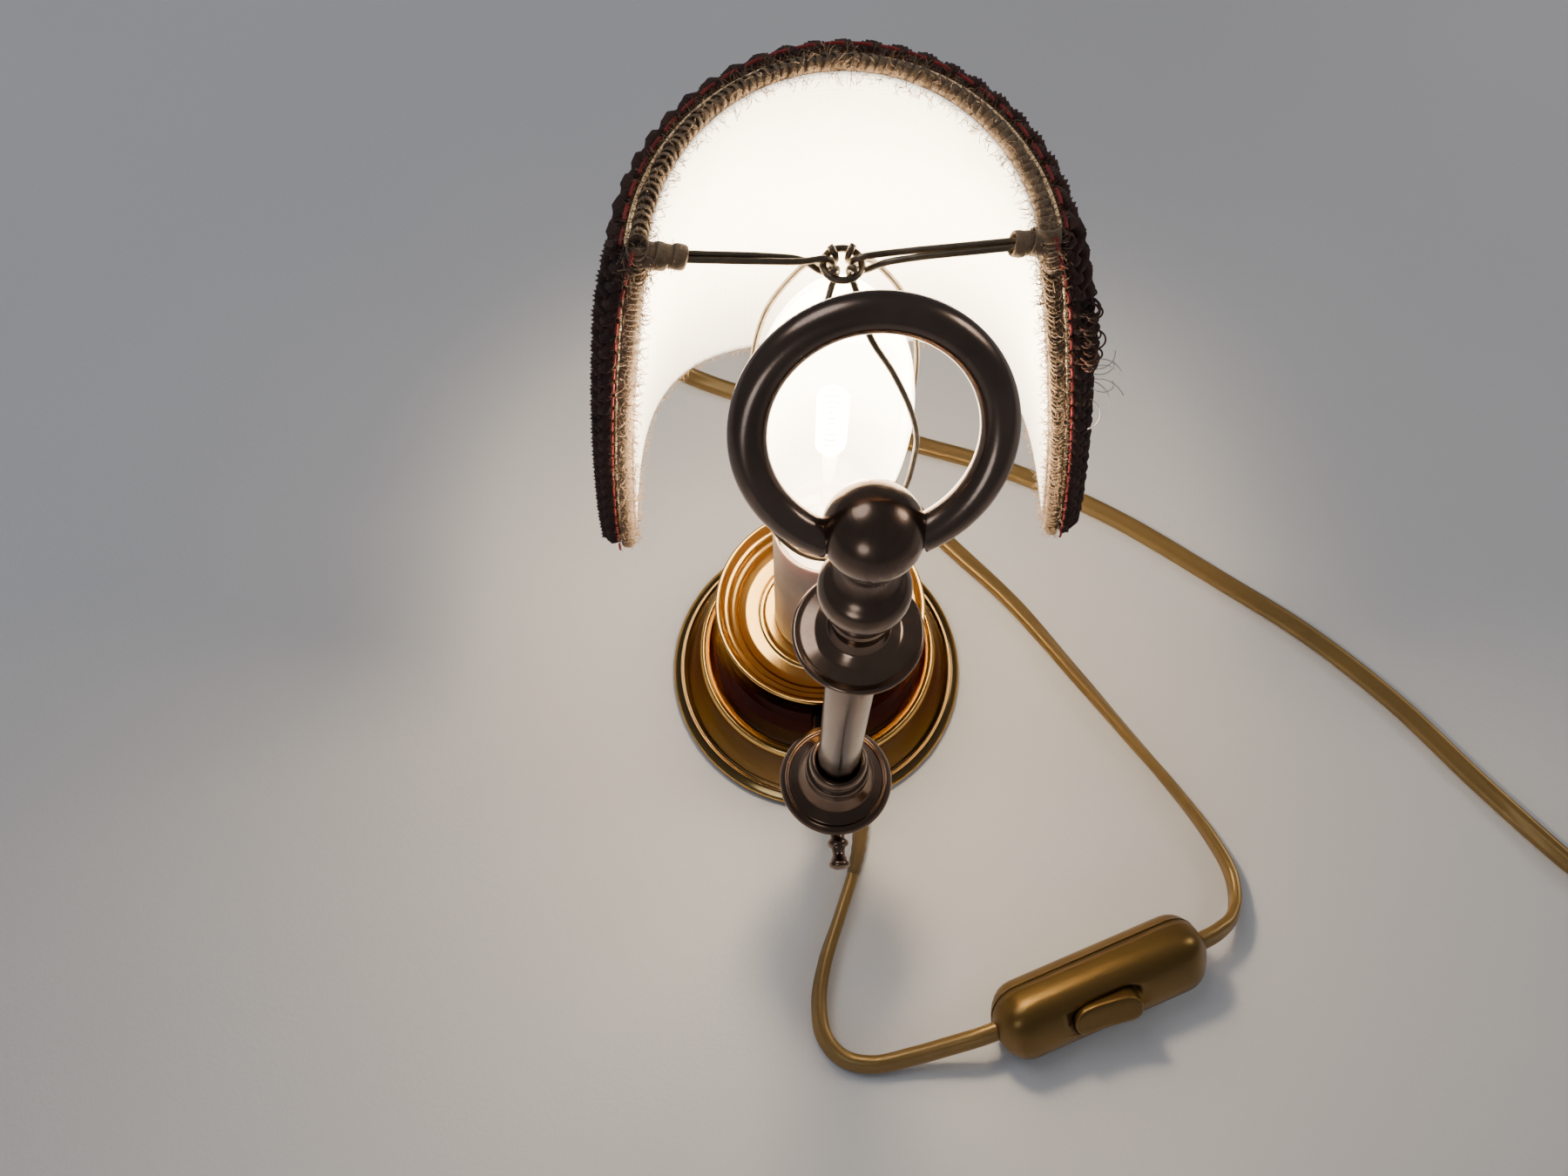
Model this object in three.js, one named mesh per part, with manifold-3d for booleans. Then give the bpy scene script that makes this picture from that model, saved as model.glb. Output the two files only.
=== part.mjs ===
// Small brass table lamp: a round stepped base with a dish, a candle sleeve with a candle bulb,
// a half shield shade clipped on the bulb, a side stem with a ring handle, and a flat cord with
// a hand switch. Millimetres, +Z up. The origin is the middle of the felt pad's underside, the
// stem stands on the -Y side and the shade's closed side faces +Y.
import * as THREE from 'three';
import { mergeVertices } from 'three/addons/utils/BufferGeometryUtils.js';
import Module from 'manifold-3d';

const wasm = await Module();
wasm.setup();

// ---- driving dimensions ----
const GAP = 0.3;

const FOOT_R = 46.5;
const FOOT_Z = 1.8;
const RING_R = 35.7;
const RING_Z = 21;
const DISH_R = 30;
const DISH_Z = 57;
const FLOOR_R = 21.3;
const FLOOR_Z = 50;
const WALL = 1.4;

const SLEEVE_R = 13;
const SLEEVE_TOP = 108;
const BULB_NECK_Z = 106;
const BULB_TIP_Z = 204;

const STEM_Y = -53.9;
const STEM_R = 5;
const ARM_Z = 42;
const ARM_R = 4.2;
const SOCKET_BOTTOM = 31;
const SOCKET_TOP = 64;
const FLANGE_R = 14.6;
const FLANGE_Z = 69;
const SCREW_Z = 57;
const DISC_R = 11.8;
const DISC_Z = 177;
const BALL_R = 7.6;
const BALL_Z = 218;
const HANDLE_R = 17.4;
const HANDLE_TUBE = 2.8;
const HANDLE_RISE = 15.1;
const HANDLE_LEAN = 35;

const CLIP_Z = 209;
const CLIP_R = 3.3;
const CLIP_WIRE = 0.65;
const LOOP_WIRE = 0.6;
const SHADE_TOP = { a: 34, b: 40.5, z: 4, square: 2 };
const SHADE_BOTTOM = { a: 52.6, b: 58.4, z: -105, square: 3.4 };
const SHADE_BOW = 1.5;
const SHADE_TILT = 0;
const SHADE_ROLL = -1.9;
const SHADE_YAW = -2.4;
const FRAME_R = 1.6;
const RIB_R = 0.9;

const FLEX_WIDTH = 6.5;
const FLEX_THICK = 4;
const FLEX_Z = FLEX_THICK / 2 + 0.35;
const SWITCH = { length: 66, width: 22, height: 17, corner: 6, roll: 50 };
const SWITCH_CENTRE = [74.5, -105, 11.5];
const SWITCH_YAW = 18.5;
const ROCKER_X = -2.2;
const ROCKER_PIVOT = 5;
const ROCKER_REST = 7;
const COIL = { x: 281, y: -128, inner: 27, outer: 46, height: 9.5 };
const PLUG = { x: 317.4, y: -66, height: 12 };

// ---- materials ----
function finish(color, roughness, metalness) {
  return new THREE.MeshStandardMaterial({ color, roughness, metalness });
}
const BRASS = finish(0x9a7238, 0.32, 1);
const OLD_BRASS = finish(0x6b4b33, 0.3, 1);
const IRON = finish(0x3a3a3c, 0.7, 0.6);
const FELT = finish(0x2d3a2c, 0.95, 0);
const STEEL = finish(0x8a8478, 0.4, 1);
const CREAM = finish(0xd8c8a4, 0.6, 0);
const PORCELAIN = finish(0xe8e4da, 0.35, 0);
const NICKEL = finish(0xb8b4aa, 0.3, 1);
const GLASS = finish(0xf4f1e8, 0.05, 0);
const TAPE = finish(0xcdb98f, 0.9, 0);
const LINING = finish(0xf6f0e2, 0.9, 0);
const COVER = finish(0xe6d8b8, 0.9, 0);
const TRIM = finish(0x43241d, 0.9, 0);
const FLEX = finish(0x8f6d31, 0.42, 0);
const SHELL = finish(0x84682f, 0.38, 0.2);

// ---- helpers ----
const lamp = new THREE.Group();
const rad = THREE.MathUtils.degToRad;

function add(name, geometry, material, parent = lamp) {
  const mesh = new THREE.Mesh(geometry, material);
  mesh.name = name;
  parent.add(mesh);
  return mesh;
}

function signedArea(points) {
  return points.reduce((sum, [r, z], i) => {
    const [r2, z2] = points[(i + 1) % points.length];
    return sum + r * z2 - r2 * z;
  }, 0);
}

// A turned solid about +Z. A profile that starts and ends on the axis is solid; one that does
// not is a ring, and is closed on itself.
function turned(points, segments = 32) {
  const onAxis = points[0][0] === 0 && points[points.length - 1][0] === 0;
  const path = signedArea(points) > 0 ? [...points] : [...points].reverse();
  if (!onAxis) {
    path.push(path[0]);
  }
  const vectors = path.map(([r, z]) => new THREE.Vector2(r, z));
  return new THREE.LatheGeometry(vectors, segments).rotateX(Math.PI / 2);
}

function tubeRing(inner, outer, bottom, top, segments = 32) {
  return turned([[inner, bottom], [outer, bottom], [outer, top], [inner, top]], segments);
}

function ovalSection(width, height, sides) {
  const points = [];
  for (let i = 0; i < sides; i += 1) {
    const angle = (2 * Math.PI * (i + 0.5)) / sides;
    points.push(new THREE.Vector2((width / 2) * Math.cos(angle), (height / 2) * Math.sin(angle)));
  }
  return new THREE.Shape(points);
}

function smooth(points) {
  return new THREE.CatmullRomCurve3(points.map((p) => new THREE.Vector3(...p)), false, 'centripetal');
}

function tube(points, radius, steps, sides = 8) {
  const section = ovalSection(2 * radius, 2 * radius, sides);
  return new THREE.ExtrudeGeometry(section, { steps, extrudePath: smooth(points) });
}

function flatCord(points, steps) {
  const section = ovalSection(FLEX_THICK, FLEX_WIDTH, 10);
  return new THREE.ExtrudeGeometry(section, { steps, extrudePath: smooth(points) });
}

function roundedRect(width, height, corner) {
  const x = width / 2;
  const y = height / 2;
  const shape = new THREE.Shape();
  shape.absarc(x - corner, y - corner, corner, 0, Math.PI / 2);
  shape.absarc(-x + corner, y - corner, corner, Math.PI / 2, Math.PI);
  shape.absarc(-x + corner, -y + corner, corner, Math.PI, 1.5 * Math.PI);
  shape.absarc(x - corner, -y + corner, corner, 1.5 * Math.PI, 2 * Math.PI);
  return shape;
}

// A rounded block, its length along X and its section in Y and Z, with eased ends.
function easedBlock(length, width, height, corner, ease) {
  const shape = roundedRect(width - 2 * ease, height - 2 * ease, corner - ease);
  const block = new THREE.ExtrudeGeometry(shape, {
    depth: length - 2 * ease,
    bevelThickness: ease,
    bevelSize: ease,
    bevelSegments: 3,
    curveSegments: 4,
  });
  block.translate(0, 0, ease - length / 2);
  return block.rotateX(Math.PI / 2).rotateZ(Math.PI / 2);
}

function toSolid(geometry) {
  const bare = geometry.clone();
  bare.deleteAttribute('normal');
  bare.deleteAttribute('uv');
  const merged = mergeVertices(bare, 1e-4);
  return new wasm.Manifold(new wasm.Mesh({
    numProp: 3,
    vertProperties: new Float32Array(merged.attributes.position.array),
    triVerts: new Uint32Array(merged.index.array),
  }));
}

function fromSolid(solid) {
  const mesh = solid.getMesh();
  const geometry = new THREE.BufferGeometry();
  geometry.setAttribute('position', new THREE.BufferAttribute(mesh.vertProperties, 3));
  geometry.setIndex(new THREE.BufferAttribute(mesh.triVerts, 1));
  geometry.computeVertexNormals();
  return geometry;
}

function cut(geometry, ...tools) {
  return fromSolid(tools.reduce((solid, tool) => solid.subtract(toSolid(tool)), toSolid(geometry)));
}

function join(geometry, ...others) {
  return fromSolid(others.reduce((solid, other) => solid.add(toSolid(other)), toSolid(geometry)));
}

// A round bar between two heights on +Z, turned to lie along X or Y where asked.
function bar(radius, from, to, along = 'z', segments = 16) {
  const geometry = turned([[0, from], [radius, from], [radius, to], [0, to]], segments);
  if (along === 'x') {
    return geometry.rotateY(Math.PI / 2);
  }
  return along === 'y' ? geometry.rotateX(-Math.PI / 2) : geometry;
}

function hexNut(radius, bottom, top) {
  return cut(bar(radius, bottom, top, 'z', 6), bar(5.3, bottom - 2, top + 2));
}

// ---- base ----
add('felt_pad', turned([[0, 0], [43, 0], [43, 1.5], [0, 1.5]], 36), FELT);

const outside = [
  [FOOT_R, FOOT_Z], [FOOT_R, FOOT_Z + 1.2], [FOOT_R - 1, FOOT_Z + 2.2], [43.6, 5.2], [43, 4.9],
  [42.4, 5.6], [40.6, 10], [38.4, 16], [37, 19], [36.6, 20.2], [RING_R + 0.6, RING_Z + 0.2],
  [RING_R, RING_Z + 0.6], [34.8, RING_Z + 0.1], [34.2, 20.6], [32.8, 24], [31, 30], [29.8, 37],
  [29.2, 44], [29.1, 50], [29.4, 54], [DISH_R, 55.6], [DISH_R, DISH_Z - 0.3], [29.5, DISH_Z],
];
const inside = [
  [28.7, DISH_Z - 0.3], [28.3, 56], [27.6, 55], [26.3, 54.6], [25.7, 53.2], [24.2, 52.6],
  [23.4, 51.2], [FLOOR_R, FLOOR_Z], [5.4, FLOOR_Z], [5.4, FLOOR_Z - WALL], [FLOOR_R, 48.6],
  [24.4, 49.8], [27.6, 52], [27.7, 44], [28.3, 37], [29.5, 30], [31.3, 24], [33, 19.8],
  [35.4, 18.8], [37, 15.4], [39.2, 9.4], [41.3, 4.2], [42.6, 3.4], [45, 3], [45, FOOT_Z],
];
const armHole = bar(ARM_R + GAP, 24, 40, 'y').rotateZ(Math.PI).translate(0, 0, ARM_Z);
const EXIT_ANGLE = -78.5;
const EXIT_Z = 7.2;
const exitHole = bar(4, 34, 50, 'x').rotateZ(rad(EXIT_ANGLE)).translate(0, 0, EXIT_Z);
add('base_shell', cut(turned([...outside, ...inside], 36), armHole, exitHole), BRASS);

const weightProfile = [
  [5.3, 9.2], [12, 9.2], [12, 1.8], [40.8, 1.8], [40.6, 4], [38.6, 9], [36.4, 14.8], [34.8, 18.2],
  [32.5, 19.2], [30.9, 23.6], [29.1, 29.6], [27.9, 36.8], [27.3, 44], [27.2, 46], [5.3, 46],
];
const armSocket = bar(ARM_R + GAP, 14, 40, 'y').rotateZ(Math.PI).translate(0, 0, ARM_Z);
const cordWay = bar(4.4, 20, 50, 'x').rotateZ(rad(EXIT_ANGLE)).translate(0, 0, EXIT_Z);
add('base_weight', cut(turned(weightProfile, 28), armSocket, cordWay), IRON);

add('centre_tube', tubeRing(3.4, 5, 3.2, 64, 24), STEEL);
add('lock_nut', hexNut(9, 4, 8.9), STEEL);
add('dish_nut', hexNut(8, FLOOR_Z + GAP, 54), BRASS);

// ---- candle sleeve, lampholder and bulb ----
add('candle_sleeve', tubeRing(SLEEVE_R - 0.8, SLEEVE_R, FLOOR_Z + GAP, SLEEVE_TOP), CREAM);
const holder = [
  [0, 64.3], [6, 64.3], [6, 66.3], [11.6, 66.3], [11.6, 104], [10.9, 105], [8.4, 105],
  [8.4, 84], [7.6, 83], [7.6, 76], [0, 76],
];
add('lampholder', turned(holder, 20), PORCELAIN);
const cap = [
  [0, 76.3], [2.4, 76.3], [3, 78], [5, 80.6], [6.4, 82], [6.9, 84], [6.3, 85.6], [6.9, 87.2],
  [6.3, 88.8], [6.9, 90.4], [6.3, 92], [6.9, 93.6], [6.4, 95.2], [6.4, 103.4], [7.3, 105.7],
  [0, 105.7],
];
add('bulb_cap', turned(cap, 16), NICKEL);

const glassOut = [
  [6.2, BULB_NECK_Z], [7, 112], [9.6, 120], [12.9, 130], [15.3, 142], [16.4, 155], [16.3, 166],
  [14.4, 180], [11, 190], [6.8, 197.5], [3, 202], [0, BULB_TIP_Z],
];
const glassIn = [
  [0, 203], [2.4, 201], [6, 196.8], [10.1, 189.4], [13.4, 179.6], [15.2, 166], [15.3, 155],
  [14.2, 142.3], [11.9, 130.4], [8.6, 120.3], [6, 112.4], [5.2, BULB_NECK_Z],
];
add('bulb_glass', turned([...glassOut, ...glassIn], 24), GLASS);
const stemPress = [
  [0, BULB_NECK_Z], [4, BULB_NECK_Z], [3, 114], [1.6, 128], [1.2, 150], [2.6, 152], [2.6, 166],
  [1, 168], [0, 168],
];
add('bulb_filament', turned(stemPress, 12), GLASS);

// ---- side arm, socket and stem ----
const armBar = bar(ARM_R, 14.6, -STEM_Y - 8.3, 'y').rotateZ(Math.PI).translate(0, 0, ARM_Z);
add('side_arm', armBar, BRASS);

const stem = new THREE.Group();
stem.position.set(0, STEM_Y, 0);
lamp.add(stem);

const socketProfile = [
  [0, SOCKET_BOTTOM], [2.4, SOCKET_BOTTOM + 0.4], [4, 33], [6, 34], [8, 35.4], [8, 61.6],
  [7.2, 63], [6.8, SOCKET_TOP], [5.3, SOCKET_TOP], [5.3, 44], [0, 44],
];
const screwHole = bar(2.05, 4, 12, 'y').rotateZ(Math.PI).translate(0, 0, SCREW_Z);
add('stem_socket', cut(turned(socketProfile, 24), screwHole), OLD_BRASS, stem);

const flangeProfile = [
  [5.3, SOCKET_TOP + GAP], [9, SOCKET_TOP + GAP], [13.4, 66.2], [FLANGE_R - 0.3, 67.4],
  [FLANGE_R, 68.4], [FLANGE_R - 0.5, FLANGE_Z + 0.3], [12.9, 70.6], [12.4, 70.2], [11.8, 70.8],
  [9.6, 73.2], [8, 77], [7.4, 80], [8, 81.2], [7.9, 82.6], [6.8, 83.6], [6.9, 85], [7.2, 86.4],
  [6.9, 87.8], [6.3, 88.6], [5.3, 88.6],
];
add('lower_flange', turned(flangeProfile, 28), OLD_BRASS, stem);

const screwProfile = [
  [0, 5.4], [1.9, 5.4], [1.9, 13.4], [2.8, 14], [2.8, 15], [1.8, 15.8], [1.6, 17.6], [2.4, 19],
  [2.8, 19.8], [2.6, 20.6], [1.4, 21.2], [0, 21.3],
];
add('thumb_screw', turned(screwProfile, 12).rotateX(Math.PI / 2), OLD_BRASS, stem);
stem.children[stem.children.length - 1].position.set(0, 0, SCREW_Z);

add('stem_rod', turned([[0, 44.3], [4.4, 44.3], [STEM_R, 45], [STEM_R, 170.4], [0, 170.4]], 24),
  OLD_BRASS, stem);
const discProfile = [
  [0, 170.7], [5.8, 170.7], [6.6, 171.8], [8.6, 173.8], [11, 175.8], [DISC_R, DISC_Z - 0.2],
  [DISC_R - 0.3, DISC_Z + 0.5], [10.2, DISC_Z + 0.4], [7.6, 178], [5.6, 179.6], [4.6, 181.6],
  [4.4, 184.6], [0, 184.6],
];
add('upper_disc', turned(discProfile, 28), OLD_BRASS, stem);
const collarProfile = [
  [0, 184.9], [4.6, 184.9], [5.6, 186], [5.2, 187.4], [5.4, 189], [6.8, 192.2], [7.65, 195.6],
  [7.65, 198], [6.9, 199.8], [5.2, 201.2], [3.9, 203.4], [3.6, 206], [4.2, 208], [4.8, 209.2],
  [4.8, 211.2], [4.3, 211.4], [2.6, 210.3], [0, 209.9],
];
add('bell_collar', turned(collarProfile, 24), OLD_BRASS, stem);

const ballBore = bar(1.6, -9, 9, 'x', 12);
const ball = cut(new THREE.SphereGeometry(BALL_R, 24, 14).rotateX(Math.PI / 2), ballBore);
add('stem_ball', ball, OLD_BRASS, stem).position.z = BALL_Z;

// The ring is open at the ball, and its two pins sit in the ball's cross bore.
const endAngle = Math.asin(5.6 / HANDLE_R);
const arc = [];
for (let i = 0; i <= 40; i += 1) {
  const angle = -Math.PI / 2 + endAngle + ((2 * Math.PI - 2 * endAngle) * i) / 40;
  arc.push([HANDLE_R * Math.cos(angle), 0, HANDLE_RISE + HANDLE_R * Math.sin(angle)]);
}
const ringTube = tube(arc, HANDLE_TUBE, 36, 10);
const seat = new THREE.SphereGeometry(BALL_R + GAP, 24, 14).rotateX(Math.PI / 2);
const pins = [1, -1].map((side) => bar(1.3, side > 0 ? 4 : -9, side > 0 ? 9 : -4, 'x', 10));
const handle = add('ring_handle', join(cut(ringTube, seat), ...pins), OLD_BRASS, stem);
handle.position.z = BALL_Z;
handle.rotation.x = -rad(HANDLE_LEAN);

// ---- bulb clip ----
const clip = new THREE.Group();
clip.position.z = CLIP_Z;
lamp.add(clip);
add('clip_ring', new THREE.TorusGeometry(CLIP_R, CLIP_WIRE, 6, 20), STEEL, clip);

function clipLoop(side) {
  const half = [
    [0.5, 5.0, -0.4], [1.2, 5.9, -3], [5.6, 7.8, -9], [11, 9.6, -18], [15, 10.4, -28],
    [17.4, 9.6, -40], [18, 8.4, -52], [17.4, 8.4, -64], [15.2, 9, -74], [11.4, 11.4, -83],
    [6, 13.6, -88], [0, 14.2, -89.6],
  ];
  const rest = [
    [5.6, 13.6, -88], [10.6, 11.4, -83], [14, 9.2, -74], [15.8, 9, -64], [16.2, 9.2, -52],
    [15.4, 10.8, -40], [12.8, 11.4, -28], [9, 10.2, -18], [4.4, 8.2, -9], [1.2, 5.9, -3],
    [0.5, 5.0, -0.4],
  ].map(([x, y, z]) => [-x, y, z]);
  const hook = [[-0.9, 2.9, -2.2], [-0.5, 1.7, -0.6], [-0.2, 1.9, 0.9], [0, 3.3, 1.75]];
  const path = [...half, ...rest.slice(0, -2), [-1.6, 4.2, -5.2], ...hook];
  return path.map(([x, y, z]) => [x * side, y * side, z]);
}
add('clip_loop_far', tube(clipLoop(1), LOOP_WIRE, 64, 5), STEEL, clip);
add('clip_loop_near', tube(clipLoop(-1), LOOP_WIRE, 64, 5), STEEL, clip);

// ---- half shade ----
const shade = new THREE.Group();
shade.position.z = CLIP_Z;
shade.rotation.set(rad(SHADE_TILT), rad(SHADE_ROLL), rad(SHADE_YAW));
lamp.add(shade);

function shadePoint(angle, t, offset) {
  const a = THREE.MathUtils.lerp(SHADE_BOTTOM.a, SHADE_TOP.a, t);
  const b = THREE.MathUtils.lerp(SHADE_BOTTOM.b, SHADE_TOP.b, t);
  const z = THREE.MathUtils.lerp(SHADE_BOTTOM.z, SHADE_TOP.z, t);
  const power = THREE.MathUtils.lerp(SHADE_BOTTOM.square, SHADE_TOP.square, t);
  const c = Math.cos(angle);
  const s = Math.sin(angle);
  const reach = (Math.abs(c) ** power + Math.abs(s) ** power) ** (-1 / power);
  const grow = offset + SHADE_BOW * Math.sin(Math.PI * THREE.MathUtils.clamp(t, 0, 1));
  return [(a + grow) * c * reach, (b + grow) * s * reach, z];
}

// A closed sheet on the shade's cone between two offsets, two heights and two angles.
function shadeSheet(near, far, low, high, from, to, columns = 26, rows = 4) {
  const position = [];
  const index = [];
  [far, near].forEach((offset) => {
    for (let row = 0; row <= rows; row += 1) {
      for (let column = 0; column <= columns; column += 1) {
        const angle = from + ((to - from) * column) / columns;
        const t = low + ((high - low) * row) / rows;
        position.push(...shadePoint(angle, t, offset));
      }
    }
  });
  const at = (layer, row, column) => (layer * (rows + 1) + row) * (columns + 1) + column;
  const face = (a, b, c, d) => index.push(a, b, c, a, c, d);
  for (let row = 0; row < rows; row += 1) {
    for (let column = 0; column < columns; column += 1) {
      face(at(0, row, column), at(0, row, column + 1), at(0, row + 1, column + 1), at(0, row + 1, column));
      face(at(1, row, column), at(1, row + 1, column), at(1, row + 1, column + 1), at(1, row, column + 1));
    }
  }
  for (let column = 0; column < columns; column += 1) {
    face(at(1, 0, column), at(1, 0, column + 1), at(0, 0, column + 1), at(0, 0, column));
    face(at(0, rows, column), at(0, rows, column + 1), at(1, rows, column + 1), at(1, rows, column));
  }
  for (let row = 0; row < rows; row += 1) {
    face(at(0, row, 0), at(0, row + 1, 0), at(1, row + 1, 0), at(1, row, 0));
    face(at(1, row, columns), at(1, row + 1, columns), at(0, row + 1, columns), at(0, row, columns));
  }
  const geometry = new THREE.BufferGeometry();
  geometry.setAttribute('position', new THREE.Float32BufferAttribute(position, 3));
  geometry.setIndex(index);
  geometry.computeVertexNormals();
  return geometry;
}

function shadeArc(t, from, to, count = 24) {
  const points = [];
  for (let i = 0; i <= count; i += 1) {
    points.push(shadePoint(from + ((to - from) * i) / count, t, 0));
  }
  return points;
}

function shadeLine(angle, low, high, offset = 0, count = 6) {
  const points = [];
  for (let i = 0; i <= count; i += 1) {
    points.push(shadePoint(angle, low + ((high - low) * i) / count, offset));
  }
  return points;
}

add('frame_top', tube(shadeArc(1, rad(2.9), rad(177.1)), FRAME_R, 26), TAPE, shade);
add('frame_bottom', tube(shadeArc(0, rad(2.1), rad(177.9)), FRAME_R, 26), TAPE, shade);
add('post_right', tube(shadeLine(0, -0.012, 1.012), FRAME_R, 8), TAPE, shade);
add('post_left', tube(shadeLine(Math.PI, -0.012, 1.012), FRAME_R, 8), TAPE, shade);
[['rib_right', 48], ['rib_middle', 90], ['rib_left', 132]].forEach(([name, angle]) => {
  add(name, tube(shadeLine(rad(angle), 0.021, 0.979), RIB_R, 10, 6), STEEL, shade);
});
add('shade_lining', shadeSheet(-2.3, -1.9, -0.012, 1.01, rad(3.6), rad(176.4)), LINING, shade);
add('shade_cover', shadeSheet(1.9, 2.5, -0.012, 1.01, rad(1.5), rad(178.5)), COVER, shade);
add('trim_top', shadeSheet(2.8, 5.6, 0.935, 1.02, rad(9.8), rad(170.2), 26, 1), TRIM, shade);
add('trim_bottom', shadeSheet(2.8, 5.6, -0.02, 0.06, rad(7.2), rad(172.8), 26, 1), TRIM, shade);

function sideTrim(side) {
  const section = roundedRect(9, 3.6, 1.6);
  const line = shadeLine(0, -0.02, 1.022, 4.7);
  const path = smooth(line.map(([x, , z]) => [x * side, 2, z]));
  return new THREE.ExtrudeGeometry(section, { steps: 8, curveSegments: 2, extrudePath: path });
}
add('trim_right', sideTrim(1), TRIM, shade);
add('trim_left', sideTrim(-1), TRIM, shade);

// Each arm is one wire bent double round the clip ring, bound to the post at its outer end.
function armWire(side) {
  const end = shadePoint(0, 1, 0);
  const out = end[0] - FRAME_R - 0.4;
  const leg = [[out, 0.75, 4.2], [22, 0.75, 3.2], [12, 0.6, 2.4], [6.4, 0.3, 1.95], [4, 0.1, 1.75]];
  const bend = [[CLIP_R, 0, 1.72], [2.05, 0, 1.15], [1.6, 0, 0], [2.05, 0, -1.15], [CLIP_R, 0, -1.72]];
  const back = [[4, -0.1, -1.75], [7, -0.5, -1.2], [12, -0.72, 0.6], [22, -0.75, 2.6], [out, -0.75, 4]];
  return [...leg, ...bend, ...back].map(([x, y, z]) => [x * side, y * side, z]);
}
add('arm_right', tube(armWire(1), LOOP_WIRE, 40, 5), STEEL, shade);
add('arm_left', tube(armWire(-1), LOOP_WIRE, 40, 5), STEEL, shade);
[1, -1].forEach((side) => {
  const name = side > 0 ? 'binding_right' : 'binding_left';
  const wrap = add(name, tubeRing(1.95, 2.7, -2.6, 2.6, 16), TAPE, shade);
  wrap.position.set(27 * side, 0, 3.55);
  wrap.rotation.y = side * rad(90 - 6.5);
});

// ---- cord, switch, coil and plug ----
const exit = new THREE.Group();
exit.rotation.z = rad(EXIT_ANGLE);
exit.position.z = EXIT_Z;
lamp.add(exit);
const grommetProfile = [
  [3.35, 38], [3.6, 38], [3.6, 46.9], [4.4, 46.9], [4.4, 48], [4, 48.6], [3.35, 48.6],
];
const grommet = turned(grommetProfile, 16).rotateY(Math.PI / 2);
add('cord_grommet', grommet, FLEX, exit);

const switchBody = new THREE.Group();
switchBody.position.set(...SWITCH_CENTRE);
switchBody.rotation.set(rad(SWITCH.roll), 0, rad(SWITCH_YAW), 'ZYX');
lamp.add(switchBody);

function switchEnd(side, beyond, drop = 0) {
  const along = (SWITCH.length / 2 + beyond) * side;
  return [
    SWITCH_CENTRE[0] + along * Math.cos(rad(SWITCH_YAW)),
    SWITCH_CENTRE[1] + along * Math.sin(rad(SWITCH_YAW)),
    SWITCH_CENTRE[2] - drop,
  ];
}

const lampRoute = [
  [9.78, -48.2, EXIT_Z], [10.2, -50.4, EXIT_Z], [9.9, -57, 4.6], [7.4, -66, FLEX_Z + 0.2],
  [1.6, -80, FLEX_Z],
  [-3.6, -93, FLEX_Z], [-6.2, -104, FLEX_Z], [-5.4, -113.6, FLEX_Z], [-0.6, -119.6, FLEX_Z],
  [7.7, -122.2, FLEX_Z], [20, -120.6, FLEX_Z + 1.4], [31, -117.6, 6],
  switchEnd(-1, 6, 1.4), switchEnd(-1, 3.2, 0.2), switchEnd(-1, GAP + 0.02),
];
add('cord_lamp', flatCord(lampRoute, 18), FLEX);

const blank = easedBlock(SWITCH.length, SWITCH.width, SWITCH.height, SWITCH.corner, 2.6);
const half = new THREE.BoxGeometry(90, 40, 20);
const hollow = new THREE.BoxGeometry(34, 13, 11);
const window = new THREE.BoxGeometry(21.6, 10.6, 30).translate(ROCKER_X, 0, 15);
const screwWay = (x, radius) => bar(radius, -20, 20).translate(x, 0, 0);
const upper = cut(blank, half.clone().translate(0, 0, -10 + GAP / 2), hollow, window,
  screwWay(24, 1.4).translate(0, 0, -14), screwWay(-24, 1.4).translate(0, 0, -14));
const lower = cut(blank, half.clone().translate(0, 0, 10 - GAP / 2), hollow,
  screwWay(24, 2.4), screwWay(-24, 2.4));
add('switch_upper', upper, SHELL, switchBody);
add('switch_lower', lower, SHELL, switchBody);
[1, -1].forEach((side) => {
  const profile = [[0, -7.6], [2.1, -7.6], [2.1, -5.6], [1.1, -5.2], [1.1, 5.4], [0, 5.4]];
  const name = side > 0 ? 'switch_screw_b' : 'switch_screw_a';
  add(name, turned(profile, 10), STEEL, switchBody).position.x = 24 * side;
});

// The rocker rolls about a pin ROCKER_PIVOT above the middle of the body, and rests switched on.
const rockerOutline = new THREE.Shape([
  [-9.8, 0.6], [-6, -1.6], [6, -1.6], [9.8, 0.6], [10, 4.4], [9, 6.2], [4, 5.2], [0, 4.9],
  [-4, 5.2], [-9, 6.2], [-10, 4.4],
].map((p) => new THREE.Vector2(...p)));
const rocker = new THREE.ExtrudeGeometry(rockerOutline, { depth: 9.8, bevelEnabled: false });
rocker.translate(0, 0, -4.9).rotateX(Math.PI / 2);
const rockerMesh = add('switch_rocker', rocker, SHELL, switchBody);
rockerMesh.position.set(ROCKER_X, 0, ROCKER_PIVOT);
rockerMesh.rotation.y = -rad(ROCKER_REST);

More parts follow.
